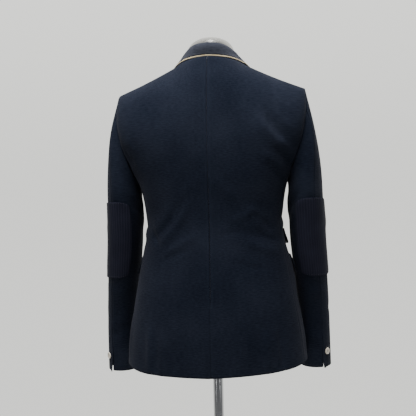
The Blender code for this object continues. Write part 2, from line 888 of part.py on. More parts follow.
def lapel(side, collection):
    """Lapel: it lies on the front from the roll line out to its own edge."""
    rows, columns = LAPEL_GRID
    base = Vector((-OVERLAP, BREAK_Z))
    top, tip = Vector(ROLL_TOP) - Vector((0, LAPEL_DROP)), Vector(LAPEL_TIP)
    outward = Vector((tip.y - base.y, base.x - tip.x)).normalized()
    outer, normals = [], []
    for i in range(rows + 1):
        f = mix(LAPEL_START, 1.0, i / rows)
        inner = base.lerp(top, f)
        far = base.lerp(tip, f) + outward * (0.007 * math.sin(math.pi * f))
        row, facing = [], []
        for j in range(columns + 1):
            k = j / columns
            spot = inner.lerp(far, k)
            puff = 0.0022 * math.sin(math.pi * min(k * 1.15, 1.0)) * smooth(f / 0.2)
            lift = 1.5 * LAID_GAP + CLOTH + puff + 0.0016 * smooth((f - 0.8) / 0.15)
            point, normal = on_front(side, spot.x, spot.y, lift)
            row.append(point)
            facing.append(normal)
        outer.append(row)
        normals.append(facing)
    return wall(f"lapel_{word(side)}", outer, normals, CLOTH, NAVY, collection, side)


def front_collar_spots(t):
    """x, z and lift of the collar's seam, fold, two middle points and edge on the front."""
    base, roll, edge = (
        Vector([table(FLAT_COLLAR, f"{part}_{axis}", t) for axis in ("x", "z", "lift")])
        for part in ("base", "roll", "edge")
    )
    near, far = roll.lerp(edge, NEAR_SHARE), roll.lerp(edge, FAR_SHARE)
    near.z, far.z = mix(roll.z, edge.z, 0.6), edge.z + 0.0006
    notch_share = smooth((t - FLAT_COLLAR[1].at) / (1 - FLAT_COLLAR[1].at))
    half = Vector(ROLL_TOP).lerp(Vector(NOTCH), 0.55)
    near = near.lerp(Vector((half.x, half.y + GORGE_GAP, near.z)), notch_share)
    far = far.lerp(Vector((NOTCH[0], NOTCH[1] + GORGE_GAP, far.z)), notch_share)
    return base, roll, near, far, edge


def collar_section(side, t):
    """Eight points across the collar, from its seam over the fold to its edge."""
    last = COLLAR[-1]
    base, roll, edge = (
        Vector([table(COLLAR, f"{part}_{axis}", t) for axis in "xyz"])
        for part in ("base", "roll", "edge")
    )
    outward = edge - base
    outward.z = 0
    outward.normalize()
    size = mix(0.0040, 0.0012, smooth(t))
    drop = Vector((0, 0, size))
    over = roll + outward * size - drop * 0.35
    bulge = outward * mix(0.0030, 0.0, smooth(t / last.at))
    near = over.lerp(edge, NEAR_SHARE) + bulge
    far = over.lerp(edge, FAR_SHARE) + bulge * 0.8
    points = [base, roll, near, far, edge]
    if t > last.at:
        on = [on_front(side, *spot)[0] for spot in front_collar_spots(t)]
        blend = smooth((t - last.at) / (FLAT_COLLAR[0].at - last.at))
        points = [a.lerp(b, blend) for a, b in zip(points, on)]
    base, roll, near, far, edge = points
    outward = near - base
    outward.z = 0
    outward.normalize()
    over = roll + outward * size - drop * 0.35
    inside = roll - outward * (0.5 * size) - drop * 0.5
    return [base, base.lerp(inside, 0.55), inside, roll, over, near, far, edge]


def collar_rows(count):
    """Sections from the right notch round the back to the left one."""
    rows = []
    for i in range(-count, count + 1):
        side = -1 if i < 0 else 1
        flip = Matrix.Diagonal((side, 1, 1))
        rows.append([flip @ point for point in collar_section(side, abs(i) / count)])
    return rows


def grid_normals(grid):
    """Normal at each point of a grid from its neighbours."""
    rows, columns = len(grid), len(grid[0])
    normals = []
    for i in range(rows):
        row = []
        for j in range(columns):
            along = grid[min(i + 1, rows - 1)][j] - grid[max(i - 1, 0)][j]
            across = grid[i][min(j + 1, columns - 1)] - grid[i][max(j - 1, 0)]
            row.append(along.cross(across).normalized())
        normals.append(row)
    return normals


def collar(collection):
    grid = collar_rows(COLLAR_ROWS)
    normals = grid_normals(grid)
    wall("collar", grid, normals, COLLAR_THICK, NAVY, collection)
    edge_rows = []
    edge_normals = []
    for points, facing in zip(grid, normals):
        on = (points[-1] - points[-2]).normalized()
        first = points[-1] + on * SEAM_GAP - facing[-1] * 0.0001
        second = points[-1] + on * (SEAM_GAP + EDGING_WIDE) - facing[-1] * 0.0001
        edge_rows.append([first, second])
        edge_normals.append([facing[-1]] * 2)
    wall("collar_edging", edge_rows, edge_normals, EDGING_THICK, TAN, collection)


def turned(name, profile, cloth, collection, steps):
    """Turned piece: its profile (radius, height) is swept once round Z."""
    mesh = bpy.data.meshes.new(name)
    build = bmesh.new()
    spots = [build.verts.new((radius, 0.0, height)) for radius, height in profile]
    for low, high in zip(spots, spots[1:]):
        build.edges.new((low, high))
    build.to_mesh(mesh)
    build.free()
    made = finish(name, mesh, cloth, collection)
    screw = made.modifiers.new("turn", "SCREW")
    screw.axis = "Z"
    screw.steps = steps
    screw.render_steps = steps
    screw.use_merge_vertices = True
    screw.merge_threshold = 0.00001
    return made


def button(name, side, point, normal, radius, collection):
    """Round button with a raised rim, facing along the cloth's normal."""
    dish, rim = 0.70 * radius, 0.0006
    profile = (
        (0.0, BUTTON_THICK - rim),
        (dish, BUTTON_THICK - rim),
        (0.85 * radius, BUTTON_THICK),
        (radius, 0.6 * BUTTON_THICK),
        (0.9 * radius, 0.2 * BUTTON_THICK),
        (0.5 * radius, 0.0),
        (0.0, 0.0),
    )
    made = turned(name, profile, SHELL, collection, BUTTON_STEPS)
    flip = Matrix.Diagonal((side, 1, 1))
    facing = (flip @ normal).normalized()
    made.rotation_euler = facing.to_track_quat("Z", "Y").to_euler()
    made.location = flip @ point + facing * LAID_GAP
    return made


def buttons(collection):
    for number, z in enumerate(BUTTON_HEIGHTS, 1):
        point, normal = on_front(1, 0.0, z, 0.0)
        button(f"front_button_{number}", 1, point, normal, BUTTON_RADIUS, collection)
    for side in (1, -1):
        z = CUFF_BUTTON_Z[side]
        g = 1 + (SLEEVE_TOP_Z - z) / (SLEEVE_TOP_Z - CUFF_Z[side])
        point = sleeve_point(side, CUFF_BUTTON_ANGLE, g)
        normal = sleeve_normal(side, CUFF_BUTTON_ANGLE, g)
        point += normal * vent_lift(CUFF_BUTTON_ANGLE, z)
        button(
            f"cuff_button_{word(side)}", side, point, normal, CUFF_BUTTON_RADIUS,
            collection,
        )


def form_point(c, h):
    """Point of the dress form, inside the coat."""
    z = ARMPIT_Z + h
    if h > 0:
        depth = mix(
            table(EASE, "depth", ARMPIT_Z), CLOTH + SHOULDER_CLEAR,
            smooth((yoke_share(h) - 0.2) / 0.75),
        )
    else:
        depth = table(EASE, "depth", z)
    q = 2 - c if c > 1 else c
    depth += NECK_EASE * smooth((0.55 - abs(q)) / 0.3) * smooth(yoke_share(h) / 0.5)
    plain = trunk_point(c, h)
    c_low, c_high = c - STEP, c + STEP
    if h > 0 and c <= 1:
        c_high = min(c_high, 1.0)
    if h > 0 and c > 1:
        c_low = max(c_low, 1 + SIDE_OFF)
    high = min(h + STEP, YOKE_RISE - 1e-6)
    across = trunk_point(c_high, h) - trunk_point(c_low, h)
    up = trunk_point(c, high) - trunk_point(c, min(h, high) - STEP)
    normal = up.cross(across).normalized()
    if h > YOKE_RISE - 1e-6 and abs(q) >= NECK_SHARE - 1e-9:
        normal = Vector((0.42, 0.0, 0.91)).normalized()
    if h <= 0:
        normal.z = 0.0
        normal.normalize()
    point = plain - normal * depth
    if h > 0:
        point.x -= 0.010 * min(abs(q), 1.0) ** 4 * smooth(yoke_share(h) / 0.3)
    return point


def form_columns():
    """Columns of the form's rings from the centre back to the centre front."""
    necks, shoulders = FORM_COLUMNS
    back_half = [NECK_SHARE * i / necks for i in range(necks)]
    back_half += [mix(NECK_SHARE, 1 - SIDE_OFF, i / shoulders) for i in range(shoulders + 1)]
    return back_half + [2 - c for c in reversed(back_half)]


def form_ring(h):
    half = [form_point(c, h) for c in form_columns()]
    return half + [Vector((-p.x, p.y, p.z)) for p in reversed(half[1:-1])]


def form_torso(collection):
    """Limbless torso with a neck, closed below by a flat underside."""
    heights = [FORM_BOTTOM, FORM_BOTTOM + 0.3 * FORM_EDGE, FORM_BOTTOM + FORM_EDGE]
    heights += list(FORM_HEIGHTS)
    rings = []
    for i, z in enumerate(heights):
        inset = (FORM_EDGE, 0.3 * FORM_EDGE, 0.0)[i] if i < 3 else 0.0
        ring = form_ring(z - ARMPIT_Z)
        for point in ring:
            flat = Vector((point.x, point.y, 0.0))
            point -= flat.normalized() * inset
        rings.append(ring)
    rings += [
        form_ring(YOKE_RISE * i / FORM_YOKE_ROWS) for i in range(1, FORM_YOKE_ROWS + 1)
    ]
    build = bmesh.new()
    loops = [[build.verts.new(point) for point in ring] for ring in rings]
    count = len(loops[0])
    for low, high in zip(loops, loops[1:]):
        for j in range(count):
            k = (j + 1) % count
            build.faces.new((low[j], low[k], high[k], high[j]))
    build.faces.new(loops[0])
    half_count = len(form_columns())
    top = loops[-1]
    near = FORM_COLUMNS[0] + 1
    neck = top[:near] + top[half_count - near:half_count]
    neck += top[half_count:half_count + near - 1]
    neck += top[count - near + 1:]
    below = neck
    for share in (0.5, 1.0):
        ring = []
        for vert in neck:
            turn = math.atan2(vert.co.y, vert.co.x)
            round_point = Vector((
                NECK_RADIUS * math.cos(turn), NECK_RADIUS * math.sin(turn), NECK_TOP,
            ))
            point = vert.co.lerp(round_point, share)
            if share < 1:
                point.z = mix(vert.co.z, NECK_TOP, 0.55)
                point.x = mix(point.x, round_point.x, 0.6)
                point.y = mix(point.y, round_point.y, 0.6)
            ring.append(build.verts.new(point))
        for j in range(len(neck)):
            k = (j + 1) % len(neck)
            build.faces.new((below[j], below[k], ring[k], ring[j]))
        below = ring
    build.faces.new(below)
    bmesh.ops.remove_doubles(build, verts=build.verts, dist=0.00005)
    return finish("form_torso", closed_mesh("form_torso", build), JERSEY, collection)


def stand(collection):
    """Neck cap, pole and round base."""
    low = NECK_TOP + SEAM_GAP
    rise = CAP_TOP - low - CAP_RIM
    profile = [(0.0, CAP_TOP)]
    for i in range(1, CAP_ROWS + 1):
        turn = 0.5 * math.pi * i / CAP_ROWS
        profile.append((
            CAP_RADIUS * math.sin(turn), low + CAP_RIM + rise * math.cos(turn),
        ))
    profile += [(CAP_RADIUS, low), (0.0, low)]
    turned("neck_cap", profile, CHROME, collection, CAP_STEPS)
    turned(
        "base",
        (
            (0.0, BASE_THICK),
            (BASE_RADIUS - BASE_EDGE, BASE_THICK),
            (BASE_RADIUS, BASE_THICK - BASE_EDGE),
            (BASE_RADIUS, 0.0),
            (0.0, 0.0),
        ),
        CHROME, collection, BASE_STEPS,
    )
    bottom, top = BASE_THICK + SEAM_GAP, FORM_BOTTOM - SEAM_GAP
    bpy.ops.mesh.primitive_cylinder_add(
        vertices=POLE_STEPS, radius=POLE_RADIUS, depth=top - bottom,
        location=(0.0, 0.0, 0.5 * (top + bottom)),
    )
    made = bpy.context.object
    made.name = "pole"
    made.data.materials.append(material(CHROME))
    made.data.shade_smooth()
    made.data.set_sharp_from_angle(angle=math.radians(40))
    for owner in list(made.users_collection):
        owner.objects.unlink(made)
    collection.objects.link(made)


def main():
    for old in list(bpy.data.objects):
        bpy.data.objects.remove(old, do_unlink=True)
    collection = bpy.data.collections.new("sport_coat_on_form")
    bpy.context.scene.collection.children.link(collection)
    for side in (1, -1):
        back(side, collection)
        side_panel(side, collection)
        front(side, collection)
        sleeve(side, collection)
        elbow_patch(side, collection)
        lapel(side, collection)
        flap(
            f"hip_flap_{word(side)}", side, HIP_FLAP_C, HIP_FLAP_Z, HIP_FLAP_GAP,
            collection,
        )
    flap(
        "ticket_flap", -1, TICKET_FLAP_C, TICKET_FLAP_Z, TICKET_FLAP_GAP, collection
    )
    collar(collection)
    buttons(collection)
    form_torso(collection)
    stand(collection)


if __name__ == "__main__":
    main()
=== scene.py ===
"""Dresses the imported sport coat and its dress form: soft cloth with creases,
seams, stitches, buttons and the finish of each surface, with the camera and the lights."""

import json
import logging
import math
from dataclasses import dataclass
from enum import Enum
from typing import Sequence

import bmesh
import bpy
import numpy as np
from bmesh.types import BMesh, BMVert
from bpy.types import ID, Material, Mesh, Node, NodeSocket, Object, World
from mathutils import Matrix, Vector
from mathutils.bvhtree import BVHTree
from mathutils.kdtree import KDTree

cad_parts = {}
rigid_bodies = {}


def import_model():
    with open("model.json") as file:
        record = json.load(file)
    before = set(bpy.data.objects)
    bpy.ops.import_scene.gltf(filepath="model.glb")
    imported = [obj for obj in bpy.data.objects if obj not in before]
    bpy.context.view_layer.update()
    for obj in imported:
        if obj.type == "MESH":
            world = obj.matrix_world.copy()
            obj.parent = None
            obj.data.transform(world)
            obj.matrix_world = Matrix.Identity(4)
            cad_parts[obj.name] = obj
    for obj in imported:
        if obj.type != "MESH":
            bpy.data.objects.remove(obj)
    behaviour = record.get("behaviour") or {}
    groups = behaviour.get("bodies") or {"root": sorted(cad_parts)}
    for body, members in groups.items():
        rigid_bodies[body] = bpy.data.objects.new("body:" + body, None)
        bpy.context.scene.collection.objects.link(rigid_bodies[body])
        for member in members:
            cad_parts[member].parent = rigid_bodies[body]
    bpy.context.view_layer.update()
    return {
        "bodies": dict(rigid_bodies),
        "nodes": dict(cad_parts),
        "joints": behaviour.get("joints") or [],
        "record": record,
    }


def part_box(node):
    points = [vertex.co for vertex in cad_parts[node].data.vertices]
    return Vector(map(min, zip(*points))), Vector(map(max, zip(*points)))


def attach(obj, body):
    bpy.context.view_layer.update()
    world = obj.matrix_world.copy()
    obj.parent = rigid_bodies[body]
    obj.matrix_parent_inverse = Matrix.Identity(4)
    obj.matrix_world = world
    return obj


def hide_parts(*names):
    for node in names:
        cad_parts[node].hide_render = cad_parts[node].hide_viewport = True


log = logging.getLogger("sport_coat")
BODY = "root"
MM = 1000.0  # millimetres in a metre
TINY = 1e-6  # keeps a division clear of nought
X_AXIS = Vector((1.0, 0.0, 0.0))
Y_AXIS = Vector((0.0, 1.0, 0.0))
Z_AXIS = Vector((0.0, 0.0, 1.0))

Point = tuple[float, float]
Place = tuple[float, float, float]
Colour = tuple[float, float, float]
Hit = tuple[Vector, Vector]  # a place on a surface, and the surface's direction there


class Side(Enum):
    """A half of the coat as it is worn, with the sign of its x."""

    LEFT = 1
    RIGHT = -1

    @property
    def word(self) -> str:
        """The side's name in a node's name."""
        return self.name.lower()

    @classmethod
    def of(cls, node: str) -> "Side":
        """The side that a node's name ends with."""
        return cls.LEFT if node.endswith("left") else cls.RIGHT


class Face(Enum):
    """The face of the trunk that a crease is drawn on."""

    BACK = "back"
    FRONT = "front"
    LEFT_FLANK = "left_flank"
    RIGHT_FLANK = "right_flank"


class Grain(Enum):
    """What a piece's threads run round, with the radius that makes an angle a length."""

    TRUNK = 0.150
    SLEEVE = 0.045
    COLLAR = 0.085


def eased(values: np.ndarray) -> np.ndarray:
    """A soft step from 0 to 1 of values that are clipped to that range."""
    clipped = np.clip(values, 0.0, 1.0)
    return clipped * clipped * (3 - 2 * clipped)


def level_units(x: np.ndarray, y: np.ndarray) -> np.ndarray:
    """Level unit vectors, one row each, from their parts along X and Y."""
    level = np.stack([x, y, np.zeros_like(x)], axis=1)
    return level / np.maximum(np.linalg.norm(level, axis=1, keepdims=True), TINY)


@dataclass(frozen=True)
class Crease:
    """A soft trough (depth below 0) or ridge, drawn as a bent line on the cloth.

    Start and end hold an across coordinate and a height. Across is x on the back and the
    front, y on a flank, and on a sleeve the angle in degrees: 0 outwards, 90 behind, 180 at
    the body, 270 in front. Steep scales the width on the right of the way from start to
    end, and 2 less steep on the left. Lead and fade are shares of the length: how far the
    crease runs on past its ends, and how far it takes to fade there.
    """

    start: Point
    end: Point
    width: float
    depth: float
    bend: float
    steep: float = 0.70
    lead: float = 0.18
    fade: float = 0.5

    def height(self, across: np.ndarray, up: np.ndarray, arc: float) -> np.ndarray:
        """How far the crease moves each point outwards.

        Args:
            across: the points' across coordinate.
            up: the points' height.
            arc: metres to a unit of the across coordinate.

        Returns:
            The move of each point, in metres.
        """
        run_x = (self.end[0] - self.start[0]) * arc
        run_z = self.end[1] - self.start[1]
        length = math.hypot(run_x, run_z)
        from_x = (across - self.start[0]) * arc
        from_z = up - self.start[1]
        along = (from_x * run_x + from_z * run_z) / length**2
        beside = (from_z * run_x - from_x * run_z) / length
        beside = beside - self.bend * 4 * along * (1 - along)
        wide = np.where(beside > 0, self.width * (2 - self.steep), self.width * self.steep)
        ends = eased((along + self.lead) / self.fade) * eased((1 + self.lead - along) / self.fade)
        return self.depth * ends * np.exp(-((beside / wide) ** 2))


@dataclass(frozen=True)
class SleeveLine:
    """The middle line of one sleeve, from the cuff up; the radius turns angles to lengths."""

    xs: tuple[float, ...]
    ys: tuple[float, ...] = (-0.0850, -0.0730, -0.0500, -0.0200, 0.0020, 0.0020)
    heights: tuple[float, ...] = (0.725, 0.860, 0.950, 1.050, 1.140, 1.300)
    radius: float = 0.043

    def at(self, up: np.ndarray | float) -> tuple[np.ndarray, np.ndarray]:
        """The line's x and y at a height."""
        return np.interp(up, self.heights, self.xs), np.interp(up, self.heights, self.ys)

    def around(self, points: np.ndarray) -> tuple[np.ndarray, np.ndarray]:
        """The angle of each point round the sleeve, and its outward direction.

        Args:
            points: positions, one row each.

        Returns:
            Angles in degrees from 0 to 360, and level unit vectors.
        """
        x, y = self.at(points[:, 2])
        out_x, out_y = points[:, 0] - x, points[:, 1] - y
        angles = np.degrees(np.arctan2(out_y, out_x * math.copysign(1.0, self.xs[0]))) % 360
        return angles, level_units(out_x, out_y)


LINES = {
    Side.LEFT: SleeveLine((0.2380, 0.2330, 0.2238, 0.2103, 0.2055, 0.1900)),
    Side.RIGHT: SleeveLine((-0.2225, -0.2194, -0.2150, -0.2073, -0.2055, -0.1900)),
}

# The columns of these tables are the across coordinate and height of the start, the same of
# the end, width, depth and bend, in millimetres (and degrees across a sleeve), then steep.
BACK_ROWS = (
    (-62, 1428, 62, 1428, 10, 3.4, 12, 1.5),
    (-126, 1310, -168, 1256, 7.5, -2, 4),
    (-114, 1302, -150, 1246, 9, 3, 4),
    (-142, 1318, -184, 1274, 7, 2.2, 3),
    (-140, 1238, -180, 1198, 6, -4.2, -3),
    (-150, 1254, -184, 1222, 7, 3.6, -2),
    (-118, 1226, -158, 1186, 8, 2.8, -3),
    (-126, 1204, -160, 1168, 6, -2.6, -2),
    (190, 1250, 164, 1208, 6, -1.8, 2),
    (178, 1268, 154, 1230, 7.5, 1.8, 2),
    (166, 1226, 140, 1186, 8, 1.2, 3),
    (130, 1066, 110, 1032, 5.5, -2.6, 2),
    (118, 1030, 40, 1128, 8.5, 3, 7),
    (134, 1044, 66, 1124, 6, -2, 7),
    (104, 1008, 28, 1052, 8, 1.6, -4),
    (112, 996, 50, 1022, 6, -1.4, -3),
    (-92, 1100, -132, 1060, 7, -2.8, -4),
    (-76, 1112, -120, 1082, 8, 2, -3),
    (-98, 1058, -150, 1040, 5.5, -2.8, 3),
    (-72, 1046, -150, 1014, 8.5, 2.8, 4),
    (-52, 999, -126, 980, 4.2, -1.6, 6),
    (-40, 1082, -104, 1112, 8, 1.6, 3),
    (-22, 1052, -80, 1062, 6, -1.3, -2),
    (143, 756, 136, 856, 10.5, 3.2, 2),
    (126, 754, 122, 850, 9, -2.6, 1),
    (111, 752, 109, 838, 11, 1.8, -1),
    (88, 750, 86, 826, 8.5, -2, 2),
    (-122, 758, -116, 846, 8.5, 2.8, -2),
    (-150, 760, -141, 856, 7.5, -2.8, 2),
    (58, 790, 50, 970, 18, -2.2, 4),
    (-78, 780, -60, 960, 20, 2, 4),
    (30, 1340, 104, 1200, 30, 1.8, 6),
    (-42, 1330, -94, 1190, 28, -1.4, -6),
    (-10, 1180, -60, 1130, 14, 1.4, 3),
    (12, 1200, 70, 1150, 15, -1.2, 3),
)
FRONT_ROWS = (
    (30, 1078, 124, 1062, 6.5, -2.2, 3),
    (34, 1066, 118, 1036, 7.5, 2.2, 3),
    (32, 1054, 104, 1016, 6, -1.4, 2),
    (-40, 1080, -94, 1098, 6.5, -1.8, 2),
    (-40, 1092, -110, 1120, 8, 2, -3),
    (-34, 1056, -78, 1040, 6.5, -1.2, 2),
    (46, 1100, 118, 1130, 8.5, 2.2, -3),
    (62, 1092, 136, 1108, 6, -1.8, -2),
    (152, 1252, 122, 1300, 7, -1.8, 3),
    (166, 1262, 140, 1312, 8, 2.2, 3),
    (-154, 1250, -126, 1294, 7, -1.6, 3),
    (-168, 1266, -142, 1306, 8, 2, 2),
    (140, 1200, 160, 1150, 9, 1.6, 3),
    (-138, 1206, -158, 1158, 8.5, 1.4, 3),
    (70, 800, 66, 930, 15, 2, 3),
    (118, 772, 112, 900, 12, -2.2, 3),
    (152, 776, 146, 880, 10, 2.6, -2),
    (-96, 778, -90, 920, 14, -2, 3),
    (-140, 772, -132, 888, 11, 2.4, 2),
)
LEFT_FLANK_ROWS = (
    (-40, 1090, 34, 1066, 7, -2.2, 3),
    (-34, 1074, 40, 1046, 8, 2, 3),
    (-50, 1052, 26, 1034, 6, -1.4, -2),
    (10, 780, 4, 900, 11, -2.2, 3),
    (46, 778, 38, 880, 10, 2.4, 2),
    (-34, 780, -28, 880, 10, 1.8, 2),
    (-10, 1090, -6, 1142, 15, 3, 2),
)
RIGHT_FLANK_ROWS = (
    (-36, 1094, 40, 1072, 7, -1.8, 2),
    (-30, 1078, 36, 1058, 8, 2.2, 3),
    (-14, 784, -10, 896, 11, 2.2, 3),
    (28, 782, 22, 890, 10, -2.2, 2),
    (4, 925, 0, 1010, 24, 3.4, 3),
)
LEFT_SLEEVE_ROWS = (
    (192, 1070, 188, 1138, 14, 3.4, 2),
    (84, 742, 88, 900, 8, -1.8, 3),
    (228, 1016, 304, 990, 6, -3, 3),
    (232, 1000, 312, 972, 7.5, 2.8, 3),
    (222, 984, 296, 950, 6, -2.8, -3),
    (236, 962, 308, 932, 8, 2.2, 2),
    (240, 946, 300, 914, 6, -1.8, 3),
    (250, 1060, 320, 1036, 8, -1.6, 3),
    (150, 1110, 96, 1150, 7.5, -2.2, 3),
    (158, 1090, 104, 1136, 8.5, 2, 3),
    (26, 944, 96, 928, 7, -1.8, 2),
    (34, 930, 104, 908, 8.5, 1.6, 3),
    (60, 812, 124, 838, 7.5, -1.6, -3),
    (52, 826, 116, 858, 8.5, 1.6, 3),
    (322, 870, 382, 846, 9, -1.6, 3),
    (322, 1100, 376, 1060, 11, 1.6, 3),
)
RIGHT_SLEEVE_ROWS = (
    (184, 1090, 180, 1138, 13, 3, 2),
    (96, 752, 92, 905, 8, -2, 3),
    (226, 1020, 300, 998, 6, -2.8, 2),
    (234, 1002, 316, 976, 8, 2.6, 3),
    (224, 978, 302, 956, 5.5, -3, 3),
    (230, 956, 300, 924, 8, 2, -3),
    (246, 1064, 312, 1046, 8, -1.4, 2),
    (152, 1104, 94, 1156, 7, -2.4, 3),
    (148, 1082, 92, 1132, 8.5, 2.2, 3),
    (20, 940, 92, 932, 7, -1.8, -2),
    (40, 924, 110, 900, 8.5, 1.8, 3),
    (56, 820, 120, 832, 7, -1.4, 3),
    (48, 792, 110, 812, 8, 1.2, 2),
    (318, 884, 380, 866, 9, -1.6, 3),
    (320, 1096, 374, 1064, 11, 1.4, 3),
)


def creases(rows: Sequence[tuple[float, ...]], unit: float = MM) -> list[Crease]:
    """Makes the creases of a table.

    Args:
        rows: the table.
        unit: how many of its across units make one: millimetres, or 1 for degrees.

    Returns:
        The creases, in metres.
    """
    made = []
    for across, up, end_across, end_up, width, depth, bend, *steep in rows:
        start, end = (across / unit, up / MM), (end_across / unit, end_up / MM)
        made.append(Crease(start, end, width / MM, depth / MM, bend / MM, *steep))
    return made


CREASES: dict[Face | Side, list[Crease]] = {
    Face.BACK: creases(BACK_ROWS),
    Face.FRONT: creases(FRONT_ROWS),
    Face.LEFT_FLANK: creases(LEFT_FLANK_ROWS),
    Face.RIGHT_FLANK: creases(RIGHT_FLANK_ROWS),
    Side.LEFT: creases(LEFT_SLEEVE_ROWS, 1.0),
    Side.RIGHT: creases(RIGHT_SLEEVE_ROWS, 1.0),
}


@dataclass(frozen=True)
class Drape:
    """How the creases, the back vent, the collar's fall and the cuff slits move the cloth.

    Sizes are metres. The cuff's seam, width and limit are degrees round a sleeve.
    """

    edge_fade: float = 0.035
    flank_start: float = 0.120
    flank_run: float = 0.030
    forward_share: float = 0.5
    vent_top: float = 0.926
    vent_run: float = 0.05
    vent_wide: float = 0.0085
    vent_lift: float = 0.0022
    vent_lap: float = 0.0024
    cuff_top: float = 0.802
    cuff_run: float = 0.03
    cuff_seam: float = 67.7
    cuff_wide: float = 13.0
    cuff_limit: float = 90.0
    cuff_lap: float = 0.0026
    cuff_lift: float = 0.0016
    cuff_slit: float = 0.760
    cuff_slit_run: float = 0.026
    cuff_gape: float = 0.0018
    cuff_drop: float = 0.0032
    collar_top: float = 1.468
    collar_run: float = 0.022
    collar_back: Point = (0.008, 0.035)
    collar_radius: float = 0.0665
    collar_band: float = 0.004
    collar_pull: float = 0.0022

    def on_trunk(self, points: np.ndarray) -> np.ndarray:
        """Moves points of the trunk's cloth.

        Args:
            points: positions, one row each.

        Returns:
            The moved positions.
        """
        x, y, z = points.T
        behind = eased(y / self.edge_fade * 0.5 + 0.5)
        beside = eased((np.abs(x) - self.flank_start) / self.flank_run)
        shares = {
            Face.BACK: (behind, x),
            Face.FRONT: (1 - behind, x),
            Face.LEFT_FLANK: (beside * (x > 0), y),
            Face.RIGHT_FLANK: (beside * (x < 0), y),
        }
        total = np.zeros(len(points))
        for face, (share, across) in shares.items():
            for crease in CREASES[face]:
                total += share * crease.height(across, z, 1.0)
        vent = eased((self.vent_top - z) / self.vent_run) * (x < 0) * behind
        vent = vent * np.clip(1 + x / self.vent_wide, 0, 1)
        total += self.vent_lift * vent
        moved = points + level_units(self.forward_share * x, y) * total[:, None]
        moved[:, 0] += self.vent_lap * vent
        return moved

    def on_collar(self, points: np.ndarray) -> np.ndarray:
        """Lays the collar's falling edge closer to the back.

        Args:
            points: positions, one row each.

        Returns:
            The moved positions.
        """
        x, y, z = points.T
        start, run = self.collar_back
        share = eased((self.collar_top - z) / self.collar_run) * eased((y - start) / run)
        share = share * eased((np.hypot(x, y) - self.collar_radius) / self.collar_band)
        return points - level_units(x, y) * (self.collar_pull * share)[:, None]

    def on_sleeve(self, side: Side, points: np.ndarray, over: bool) -> np.ndarray:
        """Moves points of one sleeve's cloth.

        Args:
            side: which sleeve.
            points: positions, one row each.
            over: whether this piece laps over the other at the cuff's slit.

        Returns:
            The moved positions.
        """
        line, z = LINES[side], points[:, 2]
        angles, level = line.around(points)
        total = np.zeros(len(points))
        for crease in CREASES[side]:
            middle = 0.5 * (crease.start[0] + crease.end[0])
            turned = (angles - middle + 180) % 360 - 180 + middle
            total += crease.height(turned, z, line.radius * math.pi / 180)
        moved = points + level * total[:, None]
        if over:
            near = np.clip(1 - (self.cuff_seam - angles) / self.cuff_wide, 0, 1)
            near *= eased((self.cuff_top - z) / self.cuff_run) * (angles < self.cuff_limit)
            gape = eased((self.cuff_slit - z) / self.cuff_slit_run)
            lap = self.cuff_lap - (self.cuff_lap + self.cuff_gape) * gape
            turned = np.stack([-level[:, 1], level[:, 0], level[:, 2]], axis=1)
            shift = turned * (lap * side.value)[:, None] + level * self.cuff_lift
            shift[:, 2] -= self.cuff_drop * gape
            moved += shift * near[:, None]
        return moved


